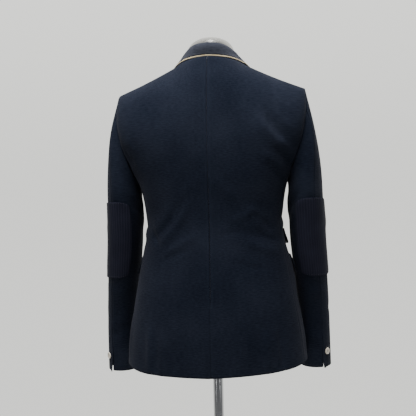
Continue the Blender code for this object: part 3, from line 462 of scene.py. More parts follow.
class Sketch:
    """The node tree of a material or of the surroundings, under construction."""

    def __init__(self, owner: Material | World, last: str) -> None:
        """Starts a tree.

        Args:
            owner: the material or world that the tree is of.
            last: the name of its shader's node.
        """
        owner.use_nodes = True
        self.tree = owner.node_tree
        self.shader = self.tree.nodes[last]

    def node(self, kind: str, inputs: dict | None = None, **settings: object) -> Node:
        """Adds a node.

        Args:
            kind: the node's type, without its ShaderNode prefix.
            inputs: values or output sockets for its inputs, by name or number.
            settings: the node's own properties.

        Returns:
            The new node.
        """
        made = self.tree.nodes.new("ShaderNode" + kind)
        for name, value in settings.items():
            setattr(made, name, value)
        for key, value in (inputs or {}).items():
            self.feed(made.inputs[key], value)
        return made

    def feed(self, socket: NodeSocket, value: object) -> None:
        """Fills an input.

        Args:
            socket: the input.
            value: an output to link to it, a colour, or another constant.
        """
        if isinstance(value, NodeSocket):
            self.tree.links.new(value, socket)
        elif socket.type == "RGBA":
            socket.default_value = (*value, 1.0)
        else:
            socket.default_value = value

    def shade(self, **values: object) -> None:
        """Fills the shader's inputs; an underscore stands for a space."""
        for name, value in values.items():
            self.feed(self.shader.inputs[name.replace("_", " ")], value)

    def place(self) -> object:
        """The object's own coordinates, in metres."""
        return self.node("TexCoord").outputs["Object"]

    def noise(self, scale: float, detail: float, vector: object = None) -> object:
        """Noise from 0 to 1, in the object's own coordinates unless others are given."""
        inputs = {"Vector": vector or self.place(), "Scale": scale, "Detail": detail}
        return self.node("TexNoise", inputs).outputs["Fac"]

    def math(self, operation: str, first: object, second: object) -> object:
        """The result of a math node."""
        return self.node("Math", {0: first, 1: second}, operation=operation).outputs[0]

    def total(self, *parts: tuple[object, float], base: float = 0.0) -> object:
        """Adds values up.

        Args:
            parts: each value with its share.
            base: a constant that is added to them.

        Returns:
            The total.
        """
        first, *others = (
            value if share == 1.0 else self.math("MULTIPLY", value, share)
            for value, share in parts
        )
        for other in others:
            first = self.math("ADD", first, other)
        return self.math("ADD", first, base) if base else first

    def ramp(
        self, value: object, low: float, high: float, first: float = 0.0,
        last: float = 1.0, kind: str = "LINEAR",
    ) -> object:
        """Goes from first to last as a value goes from low to high, and no further."""
        inputs = {
            "Value": value, "From Min": low, "From Max": high, "To Min": first, "To Max": last,
        }
        return self.node("MapRange", inputs, interpolation_type=kind).outputs["Result"]

    def blend(self, share: object, first: object, second: object) -> object:
        """A colour between two colours or outputs, by the share of the second."""
        made = self.node("Mix", {0: share, 6: first, 7: second}, data_type="RGBA")
        return made.outputs[2]

    def threads(self) -> object:
        """The piece's thread coordinates, in metres."""
        return self.node("UVMap", uv_map="threads").outputs["UV"]

    def bands(self, pitch: float, tilt: float, soft: float) -> object:
        """Draws even ribs across the thread coordinates.

        Args:
            pitch: distance between ribs, in metres.
            tilt: turn of the ribs in degrees.
            soft: how much they wander.

        Returns:
            The ribs' profile from 0 to 1.
        """
        turn = {"Vector": self.threads(), "Rotation": (0.0, 0.0, math.radians(tilt))}
        vector = self.node("Mapping", turn).outputs[0]
        scale = math.pi / 10 / pitch  # a wave texture of scale 1 repeats every pi / 10
        inputs = {"Vector": vector, "Scale": scale, "Distortion": soft, "Detail": 1.0}
        return self.node("TexWave", inputs, wave_type="BANDS").outputs["Fac"]

    def bump(self, height: object, depth: float, strength: float) -> None:
        """Bumps the shader's normal by a height, with depth metres for each unit of it."""
        inputs = {"Height": height, "Distance": depth, "Strength": strength}
        self.shade(Normal=self.node("Bump", inputs).outputs[0])


@dataclass(frozen=True)
class Finish:
    """A procedural material; each kind of finish draws its own pattern."""

    name: str
    light: Colour

    def darker(self, share: float) -> Colour:
        """A share of the light colour."""
        return tuple(share * part for part in self.light)

    def build(self) -> Material:
        """Makes the material.

        Returns:
            The material with its pattern.
        """
        material = bpy.data.materials.new(self.name)
        self.draw(Sketch(material, "Principled BSDF"))
        return material

    def draw(self, draft: Sketch) -> None:
        """Draws the pattern that a kind of finish has."""
        raise NotImplementedError


@dataclass(frozen=True)
class NavyWool(Finish):
    """Dark navy wool with a fine steep twill and mottled yarns, with painted shade along the
    seams at the cloth's edges.

    The bands are millimetres from the cloth's edge, where an effect starts and is full.
    """

    name: str = "navy_wool"
    light: Colour = (0.0153, 0.0188, 0.0298)
    dark: Colour = (0.0034, 0.0053, 0.0108)
    seam: Colour = (0.0020, 0.0032, 0.0060)
    nap: Colour = (0.86, 0.86, 1.0)
    twill_pitch: float = 0.0013
    twill_tilt: float = 28.0
    slub_scale: Place = (110.0, 430.0, 1.0)
    worn_band: Point = (8.0, 3.0)
    worn_share: float = 0.14
    seam_band: Point = (1.3, 0.2)
    seam_share: float = 0.55

    def draw(self, draft: Sketch) -> None:
        """Draws twill over mottled yarns, with worn edges and painted shade along the seams.

        Args:
            draft: the material's tree.
        """
        twill = draft.bands(self.twill_pitch, self.twill_tilt, soft=0.6)
        yarn = draft.noise(scale=1500.0, detail=3.0)
        cloudy = draft.noise(scale=9.0, detail=4.0)
        laid = draft.node("Mapping", {"Vector": draft.threads(), "Scale": self.slub_scale})
        slub = draft.noise(scale=1.0, detail=3.0, vector=laid.outputs[0])
        tone = draft.total((cloudy, 0.40), (yarn, 0.22), (slub, 0.50), (twill, 0.10))
        colour = draft.blend(draft.ramp(tone, low=0.44, high=0.80), self.dark, self.light)
        edge = draft.node("Attribute", attribute_name="edge_mm").outputs["Fac"]
        worn = draft.math("MULTIPLY", draft.ramp(edge, *self.worn_band), self.worn_share)
        colour = draft.blend(worn, colour, self.light)
        # Painted shade: the colour darkens within about a millimetre of the cloth's edge, where
        # the seams' grooves lie.
        shaded = draft.math("MULTIPLY", draft.ramp(edge, *self.seam_band), self.seam_share)
        colour = draft.blend(shaded, colour, self.seam)
        draft.shade(Base_Color=colour, Roughness=0.92, Specular_IOR_Level=0.06)
        draft.shade(Sheen_Weight=0.036, Sheen_Roughness=0.45, Sheen_Tint=self.nap)
        height = draft.total((twill, 0.55), (yarn, 1.0), (slub, 0.9))
        draft.bump(height, depth=0.00034, strength=0.75)


@dataclass(frozen=True)
class PatchCord(Finish):
    """The elbow patches' fine upright cord, a little warmer than the coat."""

    name: str = "patch_cord"
    light: Colour = (0.0225, 0.0240, 0.0400)
    groove: Colour = (0.0052, 0.0056, 0.0098)
    pitch: float = 0.0045

    def draw(self, draft: Sketch) -> None:
        """Draws ribs of cut pile.

        Args:
            draft: the material's tree.
        """
        ribs = draft.bands(self.pitch, tilt=0.0, soft=0.35)
        pile = draft.noise(scale=900.0, detail=3.0)
        worn = draft.noise(scale=26.0, detail=3.0)
        tone = draft.total((ribs, 0.28), (worn, 0.40), (pile, 0.16), base=0.17)
        colour = draft.blend(draft.ramp(tone, low=0.12, high=0.98), self.groove, self.light)
        draft.shade(Base_Color=colour, Roughness=0.93, Specular_IOR_Level=0.07)
        draft.shade(Sheen_Weight=0.035, Sheen_Roughness=0.35)
        draft.bump(draft.total((ribs, 1.0), (pile, 0.25)), depth=0.00038, strength=0.7)


@dataclass(frozen=True)
class TanFelt(Finish):
    """The tan felt that edges the collar."""

    name: str = "tan_felt"
    light: Colour = (0.560, 0.470, 0.312)
    dark: Colour = (0.300, 0.236, 0.136)

    def draw(self, draft: Sketch) -> None:
        """Draws matted fibres.

        Args:
            draft: the material's tree.
        """
        fibre = draft.noise(scale=2200.0, detail=4.0)
        patchy = draft.noise(scale=70.0, detail=2.0)
        tone = draft.total((fibre, 0.6), (patchy, 0.4))
        colour = draft.blend(draft.ramp(tone, low=0.25, high=0.75), self.dark, self.light)
        draft.shade(Base_Color=colour, Roughness=0.92, Specular_IOR_Level=0.2)
        draft.shade(Sheen_Weight=0.25, Sheen_Roughness=0.5)
        draft.bump(fibre, depth=0.00030, strength=0.8)


@dataclass(frozen=True)
class Thread(Finish):
    """Twisted sewing thread."""

    def draw(self, draft: Sketch) -> None:
        """Draws the twist.

        Args:
            draft: the material's tree.
        """
        twist = draft.noise(scale=3500.0, detail=2.0)
        draft.shade(Base_Color=draft.blend(twist, self.darker(0.45), self.light))
        draft.shade(Roughness=0.62, Specular_IOR_Level=0.35)
        draft.bump(twist, depth=0.00012, strength=0.6)


@dataclass(frozen=True)
class PaleShell(Finish):
    """Cream shell with faint layered bands under a clear polish."""

    name: str = "pale_shell"
    light: Colour = (0.790, 0.745, 0.660)
    warm: Colour = (0.470, 0.400, 0.310)

    def draw(self, draft: Sketch) -> None:
        """Draws swirls and a fine grain.

        Args:
            draft: the material's tree.
        """
        swirl = draft.noise(scale=170.0, detail=3.0)
        grain = draft.noise(scale=900.0, detail=2.0)
        tone = draft.total((swirl, 0.8), (grain, 0.2))
        colour = draft.blend(draft.ramp(tone, low=0.32, high=0.68), self.warm, self.light)
        draft.shade(Base_Color=colour, Roughness=draft.total((grain, 0.14), base=0.24))
        draft.shade(Coat_Weight=0.35, Coat_Roughness=0.12)
        draft.bump(swirl, depth=0.00008, strength=0.5)


@dataclass(frozen=True)
class FormJersey(Finish):
    """Oatmeal stretch jersey over the hard form, with its fine knit wales."""

    name: str = "form_jersey"
    light: Colour = (0.640, 0.610, 0.555)
    dark: Colour = (0.430, 0.400, 0.350)
    wale_pitch: float = 0.0016
    course_pitch: float = 0.00128

    def draw(self, draft: Sketch) -> None:
        """Draws wales crossed by courses.

        Args:
            draft: the material's tree.
        """
        wales = draft.bands(self.wale_pitch, tilt=0.0, soft=0.3)
        courses = draft.bands(self.course_pitch, tilt=90.0, soft=0.3)
        fleck = draft.noise(scale=700.0, detail=3.0)
        knit = draft.math("MULTIPLY", wales, courses)
        tone = draft.total((knit, 0.5), (fleck, 0.6))
        colour = draft.blend(draft.ramp(tone, low=0.15, high=0.8), self.dark, self.light)
        draft.shade(Base_Color=colour, Roughness=0.88, Specular_IOR_Level=0.25)
        draft.shade(Sheen_Weight=0.12, Sheen_Roughness=0.5)
        draft.bump(knit, depth=0.00035, strength=0.7)


class Polish(Enum):
    """How the stand's steel is finished: its roughness, and how much it is spun."""

    SOFT = (0.22, 0.75)
    BRUSHED = (0.24, 0.60)
    BRIGHT = (0.07, 0.0)


@dataclass(frozen=True)
class StandSteel(Finish):
    """Chrome-plated steel; haze and wipe marks add to its roughness, so a part is taken off."""

    light: Colour = (0.72, 0.73, 0.74)
    polish: Polish = Polish.BRIGHT
    wipe_scale: Place = (1.0, 1.0, 22.0)
    taken_off: float = 0.04

    def draw(self, draft: Sketch) -> None:
        """Draws haze and level wipe marks; spun steel shines round the upright axis.

        Args:
            draft: the material's tree.
        """
        drawn = draft.node("Mapping", {"Vector": draft.place(), "Scale": self.wipe_scale})
        haze = draft.noise(scale=14.0, detail=4.0)
        wiped = draft.noise(scale=60.0, detail=3.0, vector=drawn.outputs[0])
        rough, spun = self.polish.value
        rough = draft.total((haze, 0.12), (wiped, 0.05), base=rough - self.taken_off)
        draft.shade(Base_Color=draft.blend(haze, self.darker(0.86), self.light))
        draft.shade(Metallic=1.0, Roughness=rough, Anisotropic=spun)
        upright = draft.node("Tangent", direction_type="RADIAL", axis="Z")
        draft.shade(Tangent=upright.outputs[0])
        draft.bump(wiped, depth=0.00004, strength=0.35)


@dataclass(frozen=True)
class StudioPaper(Finish):
    """The plain pale floor."""

    name: str = "studio_paper"
    light: Colour = (0.66, 0.66, 0.635)

    def draw(self, draft: Sketch) -> None:
        """Draws a faint tooth."""
        tooth = draft.noise(scale=40.0, detail=2.0)
        draft.shade(Base_Color=draft.blend(tooth, self.darker(0.97), self.light), Roughness=0.9)


class Wardrobe:
    """The finishes, each built once and handed out by name."""

    def __init__(self) -> None:
        """Builds every material."""
        self.wool = NavyWool().build()
        # The collar's wool is a lighter copy of the navy wool: painted light, standing in for
        # lamp light on a collar that faces upwards.
        self.collar_wool = NavyWool(
            "collar_wool", light=(0.0460, 0.0497, 0.0636), dark=(0.0182, 0.0206, 0.0290)
        ).build()
        self.patch = PatchCord().build()
        self.felt = TanFelt().build()
        self.shell = PaleShell().build()
        self.jersey = FormJersey().build()
        self.soft = StandSteel("cap_chrome", (0.62, 0.61, 0.59), Polish.SOFT).build()
        self.brushed = StandSteel("base_chrome", polish=Polish.BRUSHED).build()
        self.bright = StandSteel("pole_chrome").build()
        self.navy_thread = Thread("navy_thread", (0.020, 0.028, 0.048)).build()
        self.patch_thread = Thread("patch_thread", (0.034, 0.038, 0.052)).build()
        self.cream_thread = Thread("cream_thread", (0.42, 0.38, 0.31)).build()
        self.paper = StudioPaper().build()


def linked(name: str, data: ID) -> Object:
    """Adds an object to the scene.

    Args:
        name: its name.
        data: its mesh, lamp or camera.

    Returns:
        The new object.
    """
    made = bpy.data.objects.new(name, data)
    bpy.context.scene.collection.objects.link(made)
    return made


def settled(worked: Object) -> Mesh:
    """The mesh that a work object's modifiers give.

    Args:
        worked: the object, which is removed.

    Returns:
        The mesh.
    """
    graph = bpy.context.evaluated_depsgraph_get()
    done = bpy.data.meshes.new_from_object(worked.evaluated_get(graph))
    bpy.data.objects.remove(worked)
    return done


def piece(name: str, mesh: Mesh, material: Material) -> Object:
    """Makes an object of the coat that rides on the part.

    Args:
        name: the piece's name.
        mesh: its mesh, in the part's frame.
        material: its finish.

    Returns:
        The new object.
    """
    mesh.materials.clear()
    mesh.materials.append(material)
    mesh.shade_smooth()
    made = linked(name, mesh)
    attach(made, BODY)
    log.info("%s: %d faces", name, len(mesh.polygons))
    return made


def hard_piece(
    name: str, node: str, mesh: Mesh, material: Material, sharp: float = 50.0
) -> None:
    """Makes a piece with sharp edges that stands for a solid.

    Args:
        name: the piece's name.
        node: the solid's name.
        mesh: its mesh.
        material: its finish.
        sharp: least angle in degrees at a sharp edge.
    """
    made = piece(name, mesh, material)
    made.data.set_sharp_from_angle(angle=math.radians(sharp))
    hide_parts(node)


def mesh_of(name: str, build: BMesh) -> Mesh:
    """Turns a finished construction into a mesh with outward faces.

    Args:
        name: the mesh's name.
        build: the construction, which is freed.

    Returns:
        The mesh.
    """
    bmesh.ops.recalc_face_normals(build, faces=build.faces)
    mesh = bpy.data.meshes.new(name)
    build.to_mesh(mesh)
    build.free()
    return mesh


def ring(
    build: BMesh, centre: Vector, first: Vector, second: Vector, radius: float, sides: int
) -> list[BMVert]:
    """Adds a round row of points.

    Args:
        build: the mesh under construction.
        centre: the row's middle.
        first: the direction of its first point.
        second: the direction of the point a quarter turn on.
        radius: its radius; 0 gives one point, repeated.
        sides: how many points.

    Returns:
        The points.
    """
    if radius == 0.0:
        return [build.verts.new(centre)] * sides
    turns = [2 * math.pi * side / sides for side in range(sides)]
    return [
        build.verts.new(
            centre + first * (radius * math.cos(turn)) + second * (radius * math.sin(turn))
        )
        for turn in turns
    ]


def join_rings(build: BMesh, rings: list[list[BMVert]]) -> None:
    """Adds the faces between each round row of points and the next.

    Args:
        build: the mesh under construction.
        rings: the rows.
    """
    for low, high in zip(rings, rings[1:]):
        for here in range(len(low)):
            after = (here + 1) % len(low)
            corners = dict.fromkeys((low[here], low[after], high[after], high[here]))
            if len(corners) > 2:
                build.faces.new(list(corners))


def turned_mesh(name: str, profile: Sequence[Point], sides: int) -> Mesh:
    """A closed mesh turned round Z.

    Args:
        name: the mesh's name.
        profile: radius and height of its outline; radius 0 is on the axis.
        sides: faces round it.

    Returns:
        The mesh.
    """
    build = bmesh.new()
    rings = [
        ring(build, Z_AXIS * height, X_AXIS, Y_AXIS, radius, sides) for radius, height in profile
    ]
    join_rings(build, rings)
    return mesh_of(name, build)


@dataclass(frozen=True)
class Softener:
    """Makes a soft mesh of a part's solid, whose triangles join up to the bend and skew."""

    bend: float = math.radians(50)
    skew: float = math.radians(70)
    merge: float = 1e-5
    levels: int = 2
    rim_step: float = 0.003

    def soften(
        self, node: Object, rim_angle: float, rim_crease: float
    ) -> tuple[Mesh, list[Vector]]:
        """Subdivides a solid and finds the edges of its cloth.

        Args:
            node: the part's solid.
            rim_angle: least angle in degrees at an edge of the cloth.
            rim_crease: how firmly those edges are held, 0 to 1.

        Returns:
            The soft mesh, and points along the cloth's edges.
        """
        build = bmesh.new()
        build.from_mesh(node.data)
        bmesh.ops.remove_doubles(build, verts=build.verts, dist=self.merge)
        bmesh.ops.join_triangles(
            build,
            faces=build.faces,
            angle_face_threshold=self.bend,
            angle_shape_threshold=self.skew,
        )
        hold = build.edges.layers.float.new("crease_edge")
        corner = build.verts.layers.float.new("crease_vert")
        rim: list[Vector] = []
        for edge in build.edges:
            if edge.is_manifold and edge.calc_face_angle(0.0) > math.radians(rim_angle):
                edge[hold] = rim_crease
                first, second = (vert.co.copy() for vert in edge.verts)
                steps = max(1, round((second - first).length / self.rim_step))
                rim += [first.lerp(second, step / steps) for step in range(steps + 1)]
        for vert in build.verts:
            if sum(edge[hold] > 0 for edge in vert.link_edges) > 2:
                vert[corner] = rim_crease
        mesh = bpy.data.meshes.new(f"{node.name}_soft")
        build.to_mesh(mesh)
        build.free()
        worked = linked(f"{node.name}_work", mesh)
        finer = worked.modifiers.new("soft", "SUBSURF")
        finer.levels = finer.render_levels = self.levels
        return settled(worked), rim


def points_of(mesh: Mesh) -> np.ndarray:
    """Reads a mesh's points.

    Args:
        mesh: the mesh.

    Returns:
        Positions, one row each.
    """
    flat = np.empty(len(mesh.vertices) * 3, np.float32)
    mesh.vertices.foreach_get("co", flat)
    return flat.reshape(-1, 3).astype(np.float64)


def move_points(mesh: Mesh, points: np.ndarray) -> None:
    """Puts the mesh's points at new places."""
    mesh.vertices.foreach_set("co", points.astype(np.float32).ravel())
    mesh.update()


def mark_edges(mesh: Mesh, rim: Sequence[Vector], most: float = 50.0) -> None:
    """Stores each point's distance from the cloth's edge, in millimetres.

    Args:
        mesh: the piece's mesh.
        rim: places along the edge.
        most: the largest distance that is told apart.
    """
    tree = KDTree(len(rim))
    for index, place in enumerate(rim):
        tree.insert(place, index)
    tree.balance()
    far = [min(MM * tree.find(vert.co)[2], most) for vert in mesh.vertices]
    mesh.attributes.new("edge_mm", "FLOAT", "POINT").data.foreach_set("value", far)


def lay_threads(mesh: Mesh, grain: Grain, line: SleeveLine | None = None) -> None:
    """Stores thread coordinates in metres: round the body, and upwards.

    Args:
        mesh: the piece's mesh.
        grain: what the threads run round.
        line: the sleeve's middle line, for a sleeve.
    """
    points = points_of(mesh)
    x, y, up = points.T
    if line:
        angles = line.around(points)[0]
    elif grain is Grain.COLLAR:
        angles, up = np.degrees(np.arctan2(x, y)), up - np.hypot(x, y)
    else:
        angles = np.degrees(np.arctan2(x, -y)) % 360
    turn = np.radians(angles)
    middle = math.degrees(math.atan2(np.sin(turn).mean(), np.cos(turn).mean()))
    across = np.radians((angles - middle + 180) % 360 - 180) * grain.value
    layer = mesh.uv_layers.new(name="threads")
    corners = np.empty(len(mesh.loops), np.int32)
    mesh.loops.foreach_get("vertex_index", corners)
    layer.data.foreach_set("uv", np.stack([across, up], axis=1)[corners].ravel())


@dataclass(frozen=True)
class Cut:
    """A piece as a maker would cut it flat, and how it is held when it is worn."""

    width: float
    length: float
    area: float
    held: str = "hung"


class Tailor:
    """Makes the coat's cloth pieces from the part's solids, and keeps them by solid."""

    def __init__(self, frame: dict, wardrobe: Wardrobe) -> None:
        """Keeps what the pieces need.

        Args:
            wardrobe: the finishes.
        """
        self.nodes = frame["nodes"]
        self.wardrobe = wardrobe
        self.drape = Drape()
        self.pieces: dict[str, Object] = {}

    def cloth(
        self, node: str, grain: Grain, cut: Cut, rests_on: list[str],
        material: Material | None = None, slot: str = "navy_cloth",
        rim: Point = (62.0, 0.85),
    ) -> None:
        """Makes one cloth piece that stands for a solid.

        Args:
            node: the solid's name.
            grain: how its threads run.
            cut: its flat piece; not used.
            rests_on: what carries it; not used.
            material: its finish, or none for the coat's wool.
            slot: the record's material slot; not used.
            rim: least angle at its edges, and how firmly they are held.
        """
        side = Side.of(node)
        mesh, edges = Softener().soften(self.nodes[node], *rim)
        mark_edges(mesh, edges)
        lay_threads(mesh, grain, LINES[side] if grain is Grain.SLEEVE else None)
        points = points_of(mesh)
        if grain is Grain.TRUNK:
            points = self.drape.on_trunk(points)
        elif grain is Grain.SLEEVE:
            points = self.drape.on_sleeve(side, points, "top" in node)
        else:
            points = self.drape.on_collar(points)
        move_points(mesh, points)
        made = piece(f"{node}_cloth", mesh, material or self.wardrobe.wool)
        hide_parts(node)
        self.pieces[node] = made


@dataclass
class Trunk:
    """Backs, side panels and fronts."""

    tailor: Tailor
    back_cut: Cut = Cut(0.240, 0.720, 0.146)
    side_cut: Cut = Cut(0.115, 0.446, 0.0425)
    front_cut: Cut = Cut(0.240, 0.672, 0.129)

    def build(self) -> None:
        """Makes the six panels."""
        cuts = {"back": self.back_cut, "side": self.side_cut, "front": self.front_cut}
        for side in Side:
            for kind, cut in cuts.items():
                node = f"{kind}_{side.word}"
                self.tailor.cloth(node, Grain.TRUNK, cut, ["form_torso_jersey"])


@dataclass
class Sleeves:
    """Two-piece sleeves with their elbow patches."""

    tailor: Tailor
    top_cut: Cut = Cut(0.163, 0.648, 0.0810)
    under_cut: Cut = Cut(0.143, 0.600, 0.0730)
    patch_cut: Cut = Cut(0.114, 0.175, 0.0196, "laid")
    patch_rim: Point = (55.0, 0.4)

    def build(self) -> None:
        """Makes both sleeves and both patches."""
        for side in Side:
            word = side.word
            trunk = [f"back_{word}_cloth", f"front_{word}_cloth"]
            self.tailor.cloth(f"sleeve_top_{word}", Grain.SLEEVE, self.top_cut, trunk)
            self.tailor.cloth(f"sleeve_under_{word}", Grain.SLEEVE, self.under_cut, trunk)
            self.tailor.cloth(
                f"elbow_patch_{word}",
                Grain.SLEEVE,
                self.patch_cut,
                [f"sleeve_top_{word}_cloth", f"sleeve_under_{word}_cloth"],
                self.tailor.wardrobe.patch,
                "ribbed_patch",
                self.patch_rim,
            )


@dataclass
class Collar:
    """The turned collar with its tan edging, and the lapels."""

    tailor: Tailor
    collar_cut: Cut = Cut(0.072, 0.345, 0.0200, "folded")
    collar_rim: Point = (76.0, 0.5)
    edging_cut: Cut = Cut(0.0105, 0.385, 0.0019, "laid")
    edging_rim: Point = (60.0, 0.25)
    lapel_cut: Cut = Cut(0.098, 0.310, 0.0152, "folded")

    def build(self) -> None:
        """Makes the collar, its edging and both lapels."""
        wardrobe = self.tailor.wardrobe
        backs = [f"back_{side.word}_cloth" for side in Side]
        self.tailor.cloth(
            "collar", Grain.COLLAR, self.collar_cut, backs, wardrobe.collar_wool,
            rim=self.collar_rim,
        )
        self.tailor.cloth(
            "collar_edging", Grain.COLLAR, self.edging_cut, ["collar_cloth"], wardrobe.felt,
            "tan_edging", self.edging_rim,
        )
        for side in Side:
            front = [f"front_{side.word}_cloth"]
            self.tailor.cloth(f"lapel_{side.word}", Grain.TRUNK, self.lapel_cut, front)


@dataclass
class Flaps:
    """Hip pocket flaps and the ticket pocket's flap."""

    tailor: Tailor
    hip_cut: Cut = Cut(0.139, 0.047, 0.0063)
    ticket_cut: Cut = Cut(0.094, 0.036, 0.0032)

    def build(self) -> None:
        """Makes the three flaps."""
        hips = [(f"hip_flap_{side.word}", side, self.hip_cut) for side in Side]
        for node, side, cut in (*hips, ("ticket_flap", Side.RIGHT, self.ticket_cut)):
            self.tailor.cloth(node, Grain.TRUNK, cut, [f"front_{side.word}_cloth"])


class Surface:
    """Finds places on a finished cloth piece."""

    def __init__(self, owner: Object) -> None:
        """Indexes the piece's faces."""
        mesh = owner.data
        self.tree = BVHTree.FromPolygons(
            [vert.co.copy() for vert in mesh.vertices],
            [tuple(face.vertices) for face in mesh.polygons],
        )

    def cast(self, start: Vector, towards: Vector) -> Hit | None:
        """Finds the first place that a ray meets.

        Args:
            start: where the ray starts.
            towards: its direction.

        Returns:
            The place and the outward direction there, or none where the ray misses.
        """
        place, normal, _, _ = self.tree.ray_cast(start, towards.normalized())
        if place is None:
            return None
        return place, normal if normal.dot(towards) < 0 else -normal

    def from_front(self, x: float, z: float, ahead: float = 0.30) -> Hit | None:
        """The place at that x and height, looked for from in front of the coat."""
        return self.cast(Vector((x, -ahead, z)), Y_AXIS)


@dataclass(frozen=True)
class Stitching:
    """A row of single stitches; tip and sunk are shares of the radius and the rise."""

    length: float = 0.0026
    gap: float = 0.0018
    radius: float = 0.00028
    rise: float = 0.00022
    sides: int = 6
    rings: int = 4
    tip: float = 0.55
    sunk: float = 0.5

    def stitch(self, build: BMesh, start: Vector, end: Vector, up: Vector) -> None:
        """Adds one tapered stitch that rises out of the cloth and goes back in.

        Args:
            build: the mesh under construction.
            start: where it comes out.
            end: where it goes in.
            up: the direction away from the cloth.
        """
        arches = [math.sin(math.pi * step / self.rings) for step in range(self.rings + 1)]
        lifts = [self.rise * (arch * (1 + self.sunk) - self.sunk) for arch in arches]
        line = [
            start.lerp(end, step / self.rings) + up * lift for step, lift in enumerate(lifts)
        ]
        loops = []
        for step, (centre, arch) in enumerate(zip(line, arches)):
            run = line[min(step + 1, self.rings)] - line[max(step - 1, 0)]
            size = self.radius * (self.tip + (1 - self.tip) * arch)
            loops.append(ring(build, centre, run.cross(up).normalized(), up, size, self.sides))
        join_rings(build, loops)
        build.faces.new(list(reversed(loops[0])))
        build.faces.new(loops[-1])

    def row(self, hits: Sequence[Hit | None]) -> BMesh:
        """Sews stitches along a path.

        Args:
            hits: close places on the cloth, or none where there is no cloth.

        Returns:
            The stitches' construction.
        """
        build = bmesh.new()
        path = [hit for hit in hits if hit]
        waited, start, sewing = 0.0, path[0], True
        for before, here in zip(path, path[1:]):
            waited += (here[0] - before[0]).length
            if sewing and waited >= self.length:
                self.stitch(build, start[0], here[0], (start[1] + here[1]).normalized())
                waited, sewing = 0.0, False
            elif not sewing and waited >= self.gap:
                start, waited, sewing = here, 0.0, True
        return build


@dataclass
class Sewing:
    """The stitches that show: round the patches, along the lapels, at buttonholes.

    A patch is a squared oval between two heights and either way of an angle in degrees.
    A front hole is its length and half its width, a lapel's its two ends and half its width.
    """

    tailor: Tailor
    patch_steps: int = 720
    patch_inset: float = 0.0032
    patch_inset_angle: float = 4.2
    patch_low: float = 0.955
    patch_high: float = 1.129
    patch_angle: float = 58.0
    patch_half: float = 66.0
    patch_square: float = 9.0
    patch_reach: float = 0.12
    patch_stitch: Stitching = Stitching()
    lapel_steps: int = 400
    lapel_base: Point = (-0.018, 1.100)
    lapel_tip: Point = (0.1225, 1.356)
    lapel_shares: Point = (0.12, 0.85)
    lapel_bow: float = 0.007
    lapel_inset: float = 0.0052
    lapel_stitch: Stitching = Stitching(0.0011, 0.0050, 0.00022, 0.00012)
    hole_stitch: Stitching = Stitching(0.0010, 0.0, 0.00020, 0.00024, 5, 3)
    hole_pitch: float = 0.00055
    hole_slit: float = 0.15
    front_heights: Point = (1.085, 0.985)
    front_hole: Point = (0.0185, 0.0017)
    lapel_hole: tuple[Point, Point, float] = ((0.0850, 1.3480), (0.1030, 1.3400), 0.0016)

    def build(self) -> None:
        """Makes every row of stitches."""
        for side in Side:
            self.patch_row(side)
            self.lapel_row(side)
        length, half = self.front_hole
        ends = [((0.0, z), (length, z), half) for z in self.front_heights]
        self.buttonholes("front_buttonholes", "front_left", ends)
        self.buttonholes("lapel_buttonhole", "lapel_left", [self.lapel_hole])

    def finish(
        self, name: str, build: BMesh, thread: Material | None = None
    ) -> None:
        """Makes a piece of sewn stitches, in navy thread unless another is given."""
        piece(name, mesh_of(name, build), thread or self.tailor.wardrobe.navy_thread)

    def patch_row(self, side: Side) -> None:
        """Sews one elbow patch on, a little inside its edge.

        Args:
            side: which sleeve it is on.
        """
        surface = Surface(self.tailor.pieces[f"elbow_patch_{side.word}"])
        middle = 0.5 * (self.patch_low + self.patch_high)
        tall = 0.5 * (self.patch_high - self.patch_low) - self.patch_inset
        wide = self.patch_half - self.patch_inset_angle
        path = []
        for step in range(self.patch_steps + 1):
            turn = math.radians(360 * step / self.patch_steps)
            u, v = math.cos(turn), math.sin(turn)
            total = abs(u) ** self.patch_square + abs(v) ** self.patch_square
            reach = total ** (-1 / self.patch_square)
            z = middle + tall * v * reach
            angle = math.radians(self.patch_angle + wide * u * reach)
            x, y = LINES[side].at(z)
            outward = Vector((math.cos(angle) * side.value, math.sin(angle), 0.0))
            start = Vector((float(x), float(y), z)) + outward * self.patch_reach
            path.append(surface.cast(start, -outward))
        build = self.patch_stitch.row(path)
        thread = self.tailor.wardrobe.patch_thread
        self.finish(f"patch_stitches_{side.word}", build, thread)

    def lapel_row(self, side: Side) -> None:
        """Sews the lapel's edge with small sunk stitches.

        Args:
            side: which lapel.
        """
        surface = Surface(self.tailor.pieces[f"lapel_{side.word}"])
        base, tip = Vector(self.lapel_base), Vector(self.lapel_tip)
        outward = Vector((tip.y - base.y, base.x - tip.x)).normalized()
        first, run = self.lapel_shares
        path = []
        for step in range(self.lapel_steps + 1):
            share = first + run * step / self.lapel_steps
            bow = self.lapel_bow * math.sin(math.pi * share) - self.lapel_inset
            spot = base.lerp(tip, share) + outward * bow
            path.append(surface.from_front(spot.x * side.value, spot.y))
        self.finish(f"lapel_stitches_{side.word}", self.lapel_stitch.row(path))

    def buttonholes(
        self, name: str, node: str, holes: Sequence[tuple[Point, Point, float]]
    ) -> None:
        """Works buttonholes in one piece of cloth.

        Args:
            name: the name of the stitches' piece.
            node: the cloth's solid.
            holes: x and z of each one's two ends, and half its width.
        """
        surface = Surface(self.tailor.pieces[node])
        build = bmesh.new()
        for start, end, half in holes:
            first, last = Vector(start), Vector(end)
            along = (last - first).normalized()
            beside = Vector((-along.y, along.x))
            count = round((last - first).length / self.hole_pitch)
            for row in (-half, half):
                for index in range(count + 1):
                    middle = first.lerp(last, index / count)
                    spots = (middle + beside * (row * reach) for reach in (self.hole_slit, 1.0))
                    inner, outer = (surface.from_front(spot.x, spot.y) for spot in spots)
                    if inner and outer:
                        self.hole_stitch.stitch(build, inner[0], outer[0], inner[1])
        self.finish(name, build)


